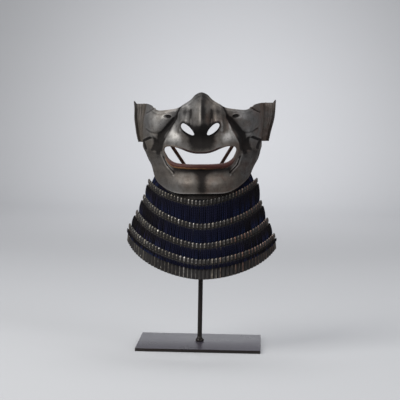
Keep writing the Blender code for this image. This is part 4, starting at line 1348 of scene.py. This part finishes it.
def iron_finish():
    """Russet-black forged iron, rubbed bright on its ridges and dark with grime in its hollows, with painted
    shade and painted highlights laid on from the noted map.
    """
    colour = bpy.context.scene.guard_colours
    finish = Finish("forged_iron")
    place = finish.place()
    worn = finish.noted("worn")
    dirt_and_shade_note = finish.noted("dirt")
    broad = finish.noise(place, 16, 3, 0.55)
    blotch = finish.noise(place, 70, 5, 0.6)
    grain = finish.noise(place, 700, 4, 0.6)
    pits = finish.noise(place, 260, 5, 0.7)
    across = finish.split(place, "X")
    rusty = finish.step(blotch + broad * 0.7 + across * 3, 0.86, 1.2)
    # rubbed: ridges worn bright, and painted highlights where the noted map is negative
    rubbed = finish.step(worn * 0.7 + (blotch - 0.5) * 0.7 - dirt_and_shade_note * 0.9, 0.2, 1.1)
    # sunk: grime in hollows and pits, and painted shade where the noted map is positive
    sunk = finish.step((grain - 0.5) * 0.4 + (blotch - 0.5) * 0.5 - worn * 0.3 + dirt_and_shade_note, -0.05, 0.85)
    base = finish.mix(finish.step(broad, 0.35, 0.65), colour.iron, colour.iron_warm)
    base = finish.mix(rusty * 0.6, base, colour.rust)
    base = finish.mix(rubbed * 0.75, base, colour.iron_bright)
    base = finish.mix(sunk * 0.95, base, colour.dirt)
    base = finish.mix(finish.step(pits, 0.58, 0.72) * 0.5, base, colour.dirt)
    mottled = finish.step(finish.noise(place, 120, 6, 0.75), 0.42, 0.66)
    base = finish.mix(mottled * 0.45 * (1 - sunk), base, colour.iron_dark)
    rough = 0.54 + (grain - 0.5) * 0.25 + rusty * 0.08 + sunk * 0.3 + rubbed * 0.03
    dents = finish.bump(finish.noise(place, 60, 3, 0.5), 0.0016, 0.6)
    pitted = finish.bump(pits, 0.0004, 0.35, dents)
    relief = finish.bump(grain, 0.00012, 0.4, pitted)
    return finish.finish_with(Base_Color=base, Metallic=0.72 - rusty * 0.25 - sunk * 0.5, Roughness=rough,
                              Specular_IOR_Level=0.15, Normal=relief)


def inner_lacquer_finish():
    """Dark red lacquer inside the mask, brushed on, with a few worn spots."""
    colour = bpy.context.scene.guard_colours
    finish = Finish("inner_lacquer")
    place = finish.place()
    brushed = finish.noise(place, 40, 4, 0.6)
    fine = finish.noise(place, 380, 3, 0.6)
    chipped = finish.step(finish.noise(place, 110, 5, 0.7), 0.64, 0.68)
    base = finish.mix(brushed, colour.inner_lacquer, colour.inner_lacquer_dark)
    base = finish.mix(chipped, base, colour.dirt)
    relief = finish.bump(fine, 0.0002, 0.3, finish.bump(chipped, 0.0002, -0.6))
    return finish.finish_with(Base_Color=base, Roughness=0.34 + brushed * 0.16 + chipped * 0.2, Normal=relief)


def lip_finish():
    """Red-brown lacquer over the rolled lip, rubbed to gold on its lower side."""
    colour = bpy.context.scene.guard_colours
    finish = Finish("lip_lacquer")
    place = finish.place()
    patches = finish.noise(place, 120, 4, 0.6)
    fine = finish.noise(place, 700, 3, 0.6)
    across = finish.split(place, "X")
    gilt = finish.step(finish.noted("gilt") + (patches - 0.5) * 1.1 - across * 10, 0.40, 0.95)
    base = finish.mix(patches, colour.lip, colour.lip_dark)
    ends = finish.step(abs(across) + (patches - 0.5) * 0.02, 0.018, 0.028)
    upper = finish.mix(ends * 0.6, colour.lip_dark, colour.iron_warm)
    base = finish.mix(finish.noted("lower"), upper, base)
    base = finish.mix(gilt * 0.6, base, colour.gilt)
    return finish.finish_with(Base_Color=base, Metallic=0.15 + gilt * 0.6, Roughness=0.50 - gilt * 0.1,
                              Specular_IOR_Level=0.2, Normal=finish.bump(fine, 0.00015, 0.4))


def scale_finish():
    """Black lacquer over the scales, rubbed through to metal and primer on the ribs' crests and heads."""
    colour = bpy.context.scene.guard_colours
    finish = Finish("scale_lacquer")
    place = finish.place()
    across = finish.split(place, "X") * 5 + 0.5
    tone = finish.noted("tone")
    rubbed = finish.noted("rubbed")
    patches = finish.noise(place, 140, 4, 0.65)
    fine = finish.noise(place, 900, 3, 0.6)
    bare = finish.ramp(across + (tone - 0.5) * 0.25, SCALE_TONES)
    body = finish.mix(patches, colour.scale, colour.scale_warm)
    crest = finish.step(rubbed + (tone - 0.5) * 0.35 + (patches - 0.5) * 0.9, 0.35, 0.95)
    # Painted glints on the tips, partly bright worn metal, more of them to the left, where the key light
    # falls
    glint = finish.step(rubbed + (finish.noise(place, 330, 2, 0.5) - 0.5) * 3 - across * 0.4, 0.95, 1.15)
    base = finish.mix(crest, body, bare)
    base = finish.mix(glint * 0.8, base, colour.glint)
    base = finish.mix(finish.noted("plain") * 0.35, base, colour.iron_warm)
    relief = finish.bump(fine, 0.00012, 0.4, finish.bump(patches, 0.0003, 0.3))
    return finish.finish_with(Base_Color=base, Metallic=0.05 + crest * 0.6, Roughness=0.52 - crest * 0.12,
                              Specular_IOR_Level=0.2, Normal=relief)


def silk_finish():
    """Indigo silk braid: two strands plaited along its length, faded blue and violet in places, with painted
    shadow at its top under the heads, painted shade along its sides and towards the middle of the rows, and
    bluer lower down where the light falls.
    """
    colour = bpy.context.scene.guard_colours
    finish = Finish("indigo_silk")
    place = finish.place()
    laid = finish.node("ShaderNodeUVMap", {"uv_map": "braid"})
    along = finish.split(laid, "X")
    around = finish.split(laid, "Y")
    tone = finish.noted("tone")
    faded = finish.noise(place, 28, 3, 0.5)
    fuzz = finish.noise(place, 1500, 3, 0.6)
    one_way = finish.maths("SINE", along * BRAID_TURNS + around * math.tau * 2)
    other_way = finish.maths("SINE", along * BRAID_TURNS - around * math.tau * 2)
    plait = finish.maths("MAXIMUM", one_way, other_way)
    # Painted shadow under the scales' heads: 0 at a braid's top, 1 lower down, where the faded blue also
    # shows more
    out_of_head_shadow = finish.step(along + (tone - 0.5) * 0.25, 0.20, 0.80)
    bluer = finish.step(faded + (tone - 0.5) * 0.35, 0.42, 0.62) * (0.25 + out_of_head_shadow * 0.75)
    base = finish.mix(bluer, colour.indigo, colour.blue)
    base = finish.mix(finish.step(tone, 0.72, 0.95) * 0.6, base, colour.violet)
    # Painted shadow at each braid's top, under the heads
    base = finish.mix((1 - out_of_head_shadow) * 0.8, base, colour.dirt)
    base = finish.mix(finish.step(plait, 0.1, 0.95) * 0.8, finish.mix(0.75, base, colour.dirt), base)
    base = finish.mix(finish.step(tone, 0.5, 0.2) * 0.4, base, colour.dirt)
    # Painted shade along each braid's sides, where it meets the next braid
    edge = abs(finish.maths("COSINE", around * math.tau))
    base = finish.mix(finish.step(edge, 0.55, 0.95) * 0.85, base, colour.dirt)
    base = finish.mix(finish.step(fuzz, 0.62, 0.75) * 0.12, base, colour.lint)
    # Painted shade: the braids darker towards the middle of the rows
    aside = abs(finish.split(place, "X"))
    base = finish.mix(finish.step(aside, 0.075, 0.03) * 0.7, base, colour.indigo)
    relief = finish.bump(fuzz, 0.0001, 0.5, finish.bump(plait, 0.00025, 0.8))
    return finish.finish_with(Base_Color=base, Roughness=0.7 + fuzz * 0.2, Specular_IOR_Level=0.05,
                              Normal=relief)


def steel_finish(name, plain, cloudy):
    """Blackened steel of the stand, waxed, with mill clouds and faint scratches."""
    colour = bpy.context.scene.guard_colours
    finish = Finish(name)
    place = finish.place()
    clouds = finish.noise(place, 22, 4, 0.6)
    stretched = finish.node("ShaderNodeMapping", values={"Vector": place, "Scale": (25, 900, 25)})
    drawn = finish.noise(stretched, 1, 3, 0.6)
    grain = finish.noise(place, 1100, 2, 0.6)
    base = finish.mix(clouds, plain, cloudy)
    base = finish.mix(finish.step(drawn, 0.6, 0.75) * 0.35, base, colour.steel_worn)
    relief = finish.bump(grain, 0.00006, 0.3, finish.bump(drawn, 0.00008, 0.25))
    return finish.finish_with(Base_Color=base, Metallic=0.40 + clouds * 0.1,
                              Roughness=0.20 + clouds * 0.12 + grain * 0.06, Normal=relief)


def plate_finish():
    colour = bpy.context.scene.guard_colours
    return steel_finish("plate_steel", colour.steel, colour.steel_violet)


def rod_finish():
    colour = bpy.context.scene.guard_colours
    return steel_finish("rod_steel", colour.rod, colour.rod_brown)


def fork_finish():
    colour = bpy.context.scene.guard_colours
    return steel_finish("brown_steel", colour.rod_brown, colour.fork)


def backdrop_finish():
    """Matt pale paper of the floor and backdrop, a little uneven, painted darker away from a pool of light on
    it.
    """
    colour = bpy.context.scene.guard_colours
    finish = Finish("studio_paper")
    place = finish.place()
    clouds = finish.noise(place, 2.5, 3, 0.5)
    fibre = finish.noise(place, 900, 3, 0.6)
    base = finish.mix(clouds, colour.floor, tuple(c * FLOOR_UNEVEN for c in colour.floor))
    drawn_out = finish.node("ShaderNodeVectorMath", {"operation": "MULTIPLY"},
                            {"Vector": place, "Vector_001": BACKDROP_STRETCH}, "Vector")
    spot = finish.node("ShaderNodeVectorMath", {"operation": "DISTANCE"},
                       {"Vector": drawn_out, "Vector_001": BACKDROP_SPOT}, "Value")
    # Painted pool of light: the paper is painted darker away from the spot
    dim = tuple(c * BACKDROP_DIM for c in colour.floor)
    base = finish.mix(finish.step(spot, 0, BACKDROP_REACH) * BACKDROP_FADE, base, dim)
    return finish.finish_with(Base_Color=base, Roughness=0.75 + fibre * 0.15,
                              Normal=finish.bump(fibre, 0.0001, 0.2))


def finish_named(name, maker):
    """The finish of that name, made once."""
    return bpy.data.materials.get(name) or maker()


class FACEGUARD_OT_mask(bpy.types.Operator):
    """Iron mask: chased skin with flanges and openings, and a lacquered inside"""

    bl_idname = "face_guard.mask"
    bl_label = "Iron mask"

    def execute(self, context):
        bm = mask_sheet()
        add_inner_wall(bm)
        settle_mask(bm)
        materials = [finish_named("forged_iron", iron_finish),
                     finish_named("inner_lacquer", inner_lacquer_finish)]
        finish_piece("mask", bm, materials, "face_plate")
        return {"FINISHED"}


class FACEGUARD_OT_lip(bpy.types.Operator):
    """Rolled lip round the mouth, thicker below"""

    bl_idname = "face_guard.lip"
    bl_label = "Rolled lip"

    def execute(self, context):
        rings, notes = lip_rings()
        bm = bmesh.new()
        for note in notes:
            bm.verts.layers.float.new(note)
        roll(bm, rings, endless=True, values=notes)
        bmesh.ops.recalc_face_normals(bm, faces=bm.faces)
        settle_mask(bm)
        finish_piece("lip", bm, [finish_named("lip_lacquer", lip_finish)], "face_plate")
        return {"FINISHED"}


class FACEGUARD_OT_lames(bpy.types.Operator):
    """Four lames of narrow lacquered scales with slanted heads"""

    bl_idname = "face_guard.lames"
    bl_label = "Lames"

    def execute(self, context):
        tones = random.Random(LAME_SEED)
        for name in LAMES:
            rings, notes = lame_rings(name, tones)
            bm = bmesh.new()
            for note in notes:
                bm.verts.layers.float.new(note)
            roll(bm, rings, values=notes)
            bmesh.ops.recalc_face_normals(bm, faces=bm.faces)
            bmesh.ops.transform(bm, matrix=guard_frame(), verts=bm.verts)
            finish_piece(name + "_scales", bm, [finish_named("scale_lacquer", scale_finish)], name)
        return {"FINISHED"}


class FACEGUARD_OT_lacing(bpy.types.Operator):
    """Rows of flat silk braids from the mask to the first lame and from lame to lame"""

    bl_idname = "face_guard.lacing"
    bl_label = "Lacing"

    def execute(self, context):
        rng = random.Random(LACE_SEED)
        rows = {"lacing_0": (LAMES[0], top_line())}
        for n, lame in enumerate(LAMES, start=1):
            rows["lacing_" + str(n)] = (lame, hanging_line(lame))
        for name, (lame, line) in rows.items():
            bm = bmesh.new()
            wider = TOP_BRAID_WIDER if name == "lacing_0" else 1
            add_braids(bm, line, scale_count(lame) * BRAIDS_PER_SCALE, rng, wider)
            bmesh.ops.recalc_face_normals(bm, faces=bm.faces)
            bmesh.ops.transform(bm, matrix=guard_frame(), verts=bm.verts)
            finish_piece(name + "_braids", bm, [finish_named("indigo_silk", silk_finish)], name)
        return {"FINISHED"}


class FACEGUARD_OT_base(bpy.types.Operator):
    """Base plate of the stand, with its edges broken"""

    bl_idname = "face_guard.base"
    bl_label = "Base plate"

    def execute(self, context):
        size = context.scene.guard_sizes
        bm = bmesh.new()
        bmesh.ops.create_cube(bm, size=1)
        bmesh.ops.scale(bm, verts=bm.verts, vec=BASE_HIGH - BASE_LOW)
        bmesh.ops.translate(bm, verts=bm.verts, vec=(BASE_HIGH + BASE_LOW) / 2)
        bmesh.ops.bevel(bm, geom=bm.edges[:], offset=size.base_bevel, segments=3, profile=0.5, affect="EDGES",
                        material=-1)
        # Painted shade: the sides and bevels that don't face up take the darker rod steel, only the top the
        # plate steel
        for face in bm.faces:
            face.material_index = int(face.normal.z < PLATE_TOP_SLOPE)
        materials = [finish_named("plate_steel", plate_finish), finish_named("rod_steel", rod_finish)]
        finish_piece("base_plate", bm, materials, "stand_base")
        return {"FINISHED"}


class FACEGUARD_OT_post(bpy.types.Operator):
    """Round post with the uneven weld bead at its foot"""

    bl_idname = "face_guard.post"
    bl_label = "Post"

    def execute(self, context):
        bm = bmesh.new()
        foot = POST_LOW.z
        outline = [(0, foot)]
        outline += [(share * POST_RADIUS, foot + rise) for share, rise in BEAD_PROFILE]
        outline += rounded_end(POST_RADIUS, POST_HIGH.z, POST_CORNER, 1)
        outline.append((0, POST_HIGH.z))
        lathe(bm, outline)
        for vert in bm.verts:
            rise = vert.co.z - foot
            if 0 < rise < BEAD_HEIGHT:
                swing = math.atan2(vert.co.y, vert.co.x) * BEAD_RIPPLES + rise * BEAD_TWIST
                vert.co.xy *= 1 + BEAD_RIPPLE * math.sin(swing) * math.sin(math.pi * rise / BEAD_HEIGHT)
        finish_piece("post", bm, [finish_named("rod_steel", rod_finish)], "stand_post")
        return {"FINISHED"}


class FACEGUARD_OT_fork(bpy.types.Operator):
    """Fork in the mask: a hub, two arms welded to it and a pad at each arm's end"""

    bl_idname = "face_guard.fork"
    bl_label = "Fork"

    def execute(self, context):
        bm = bmesh.new()
        seat = POST_HIGH.z + GAP
        top = seat + HUB_HEIGHT
        hub = [(0, seat), *rounded_end(HUB_RADIUS, seat, POST_CORNER, -1)[::-1],
               *rounded_end(HUB_RADIUS, top, POST_CORNER, 1), (0, top)]
        lathe(bm, hub)
        crotch = Vector((FORK_OFFSET, 0, seat + HUB_HEIGHT / 2))
        for side in (-1, 1):
            spot, normal = inner_wall_at(side, crotch)
            face = spot + normal * PAD_SEAT
            back = face + normal * PAD_THICKNESS
            reach = (back - crotch).length
            arm = [(0, 0)]
            arm += [(ARM_RADIUS * swell, reach * share) for share, swell in ARM_PROFILE]
            arm.append((0, reach))
            lathe(bm, arm, ARM_SIDES, along_run(crotch, back))
            pad = [(0, 0), (PAD_RADIUS - PAD_CORNER, 0),
                   *rounded_end(PAD_RADIUS, PAD_THICKNESS, PAD_CORNER, 1), (0, PAD_THICKNESS)]
            lathe(bm, pad, ARM_SIDES, along_run(face, back))
        finish_piece("fork", bm, [finish_named("brown_steel", fork_finish)], "stand_fork")
        return {"FINISHED"}


class FACEGUARD_OT_stage(bpy.types.Operator):
    """Seamless pale floor and backdrop, soft lights and the camera"""

    bl_idname = "face_guard.stage"
    bl_label = "Stage"

    def execute(self, context):
        bm = bmesh.new()
        made = bmesh.ops.create_grid(bm, x_segments=2, y_segments=FLOOR_STEPS, size=1)["verts"]
        for vert in made:
            run = (vert.co.y + 1) / 2 * (FLOOR_FRONT + FLOOR_BACK + FLOOR_CURVE * QUARTER + WALL_RISE)
            turned = min(max((run - FLOOR_FRONT - FLOOR_BACK) / FLOOR_CURVE, 0), QUARTER)
            flat = min(run, FLOOR_FRONT + FLOOR_BACK)
            risen = max(run - FLOOR_FRONT - FLOOR_BACK - FLOOR_CURVE * QUARTER, 0)
            y = flat - FLOOR_FRONT + FLOOR_CURVE * math.sin(turned)
            z = FLOOR_CURVE * (1 - math.cos(turned)) + risen
            vert.co = (vert.co.x * FLOOR_HALF_WIDTH, y, z - FLOOR_DROP)
        bmesh.ops.recalc_face_normals(bm, faces=bm.faces)
        mesh = bpy.data.meshes.new("studio_floor")
        bm.to_mesh(mesh)
        bm.free()
        mesh.shade_smooth()
        mesh.materials.append(finish_named("studio_paper", backdrop_finish))
        floor = bpy.data.objects.new("studio_floor", mesh)
        context.collection.objects.link(floor)
        for name, light in LIGHTS.items():
            add_light(name, light)
        add_world(context.scene)
        add_camera(context.scene)
        context.scene.view_settings.view_transform = "Standard"
        return {"FINISHED"}


def add_light(name, light):
    """A soft square light that looks at a target."""
    lamp = bpy.data.lights.new(name, "AREA")
    lamp.energy = light["power"]
    lamp.size = light["size"]
    lamp.color = light["colour"]
    made = bpy.data.objects.new(name, lamp)
    bpy.context.collection.objects.link(made)
    place = Vector(light["place"])
    run = Vector(light["target"]) - place
    made.matrix_world = Matrix.Translation(place) @ run.to_track_quat("-Z", "Y").to_matrix().to_4x4()


def add_world(scene):
    """Even grey light from all round."""
    world = bpy.data.worlds.new("studio_world")
    world.use_nodes = True
    background = world.node_tree.nodes["Background"]
    background.inputs["Color"].default_value = (*WORLD_COLOUR, 1)
    background.inputs["Strength"].default_value = WORLD_STRENGTH
    scene.world = world


def add_camera(scene):
    """Camera a little above the mask and a little to its right."""
    lens = bpy.data.cameras.new("studio_camera")
    lens.lens = CAMERA_FOCAL
    made = bpy.data.objects.new("studio_camera", lens)
    scene.collection.objects.link(made)
    back = Matrix.Rotation(CAMERA_AZIMUTH, 3, "Z") @ Vector((0, -math.cos(CAMERA_ELEVATION),
                                                             math.sin(CAMERA_ELEVATION)))
    place = Matrix.Translation(CAMERA_TARGET + back * CAMERA_DISTANCE)
    aim = back.to_track_quat("Z", "Y").to_matrix().to_4x4()
    made.matrix_world = place @ aim @ Matrix.Rotation(CAMERA_ROLL, 4, "Z")
    scene.camera = made


OPERATORS = (
    FACEGUARD_OT_mask,
    FACEGUARD_OT_lip,
    FACEGUARD_OT_lames,
    FACEGUARD_OT_lacing,
    FACEGUARD_OT_base,
    FACEGUARD_OT_post,
    FACEGUARD_OT_fork,
    FACEGUARD_OT_stage,
)


class FACEGUARD_PT_sidebar(bpy.types.Panel):
    """Lists the sizes, the colours and the pieces"""

    bl_idname = "FACEGUARD_PT_sidebar"
    bl_label = "Face Guard"
    bl_space_type = "VIEW_3D"
    bl_region_type = "UI"
    bl_category = "Face Guard"

    def draw(self, context):
        for group in (context.scene.guard_sizes, context.scene.guard_colours):
            box = self.layout.box()
            for name in group.__annotations__:
                box.prop(group, name)
        for operator in OPERATORS:
            self.layout.operator(operator.bl_idname)


CLASSES = (GuardSizes, GuardColours, *OPERATORS, FACEGUARD_PT_sidebar)


def register():
    for cls in CLASSES:
        bpy.utils.register_class(cls)
    bpy.types.Scene.guard_sizes = PointerProperty(type=GuardSizes)
    bpy.types.Scene.guard_colours = PointerProperty(type=GuardColours)


def unregister():
    del bpy.types.Scene.guard_colours
    del bpy.types.Scene.guard_sizes
    for cls in reversed(CLASSES):
        bpy.utils.unregister_class(cls)


def main():
    register()
    for operator in OPERATORS:
        group, name = operator.bl_idname.split(".")
        getattr(getattr(bpy.ops, group), name)()


if __name__ == "__main__":
    main()
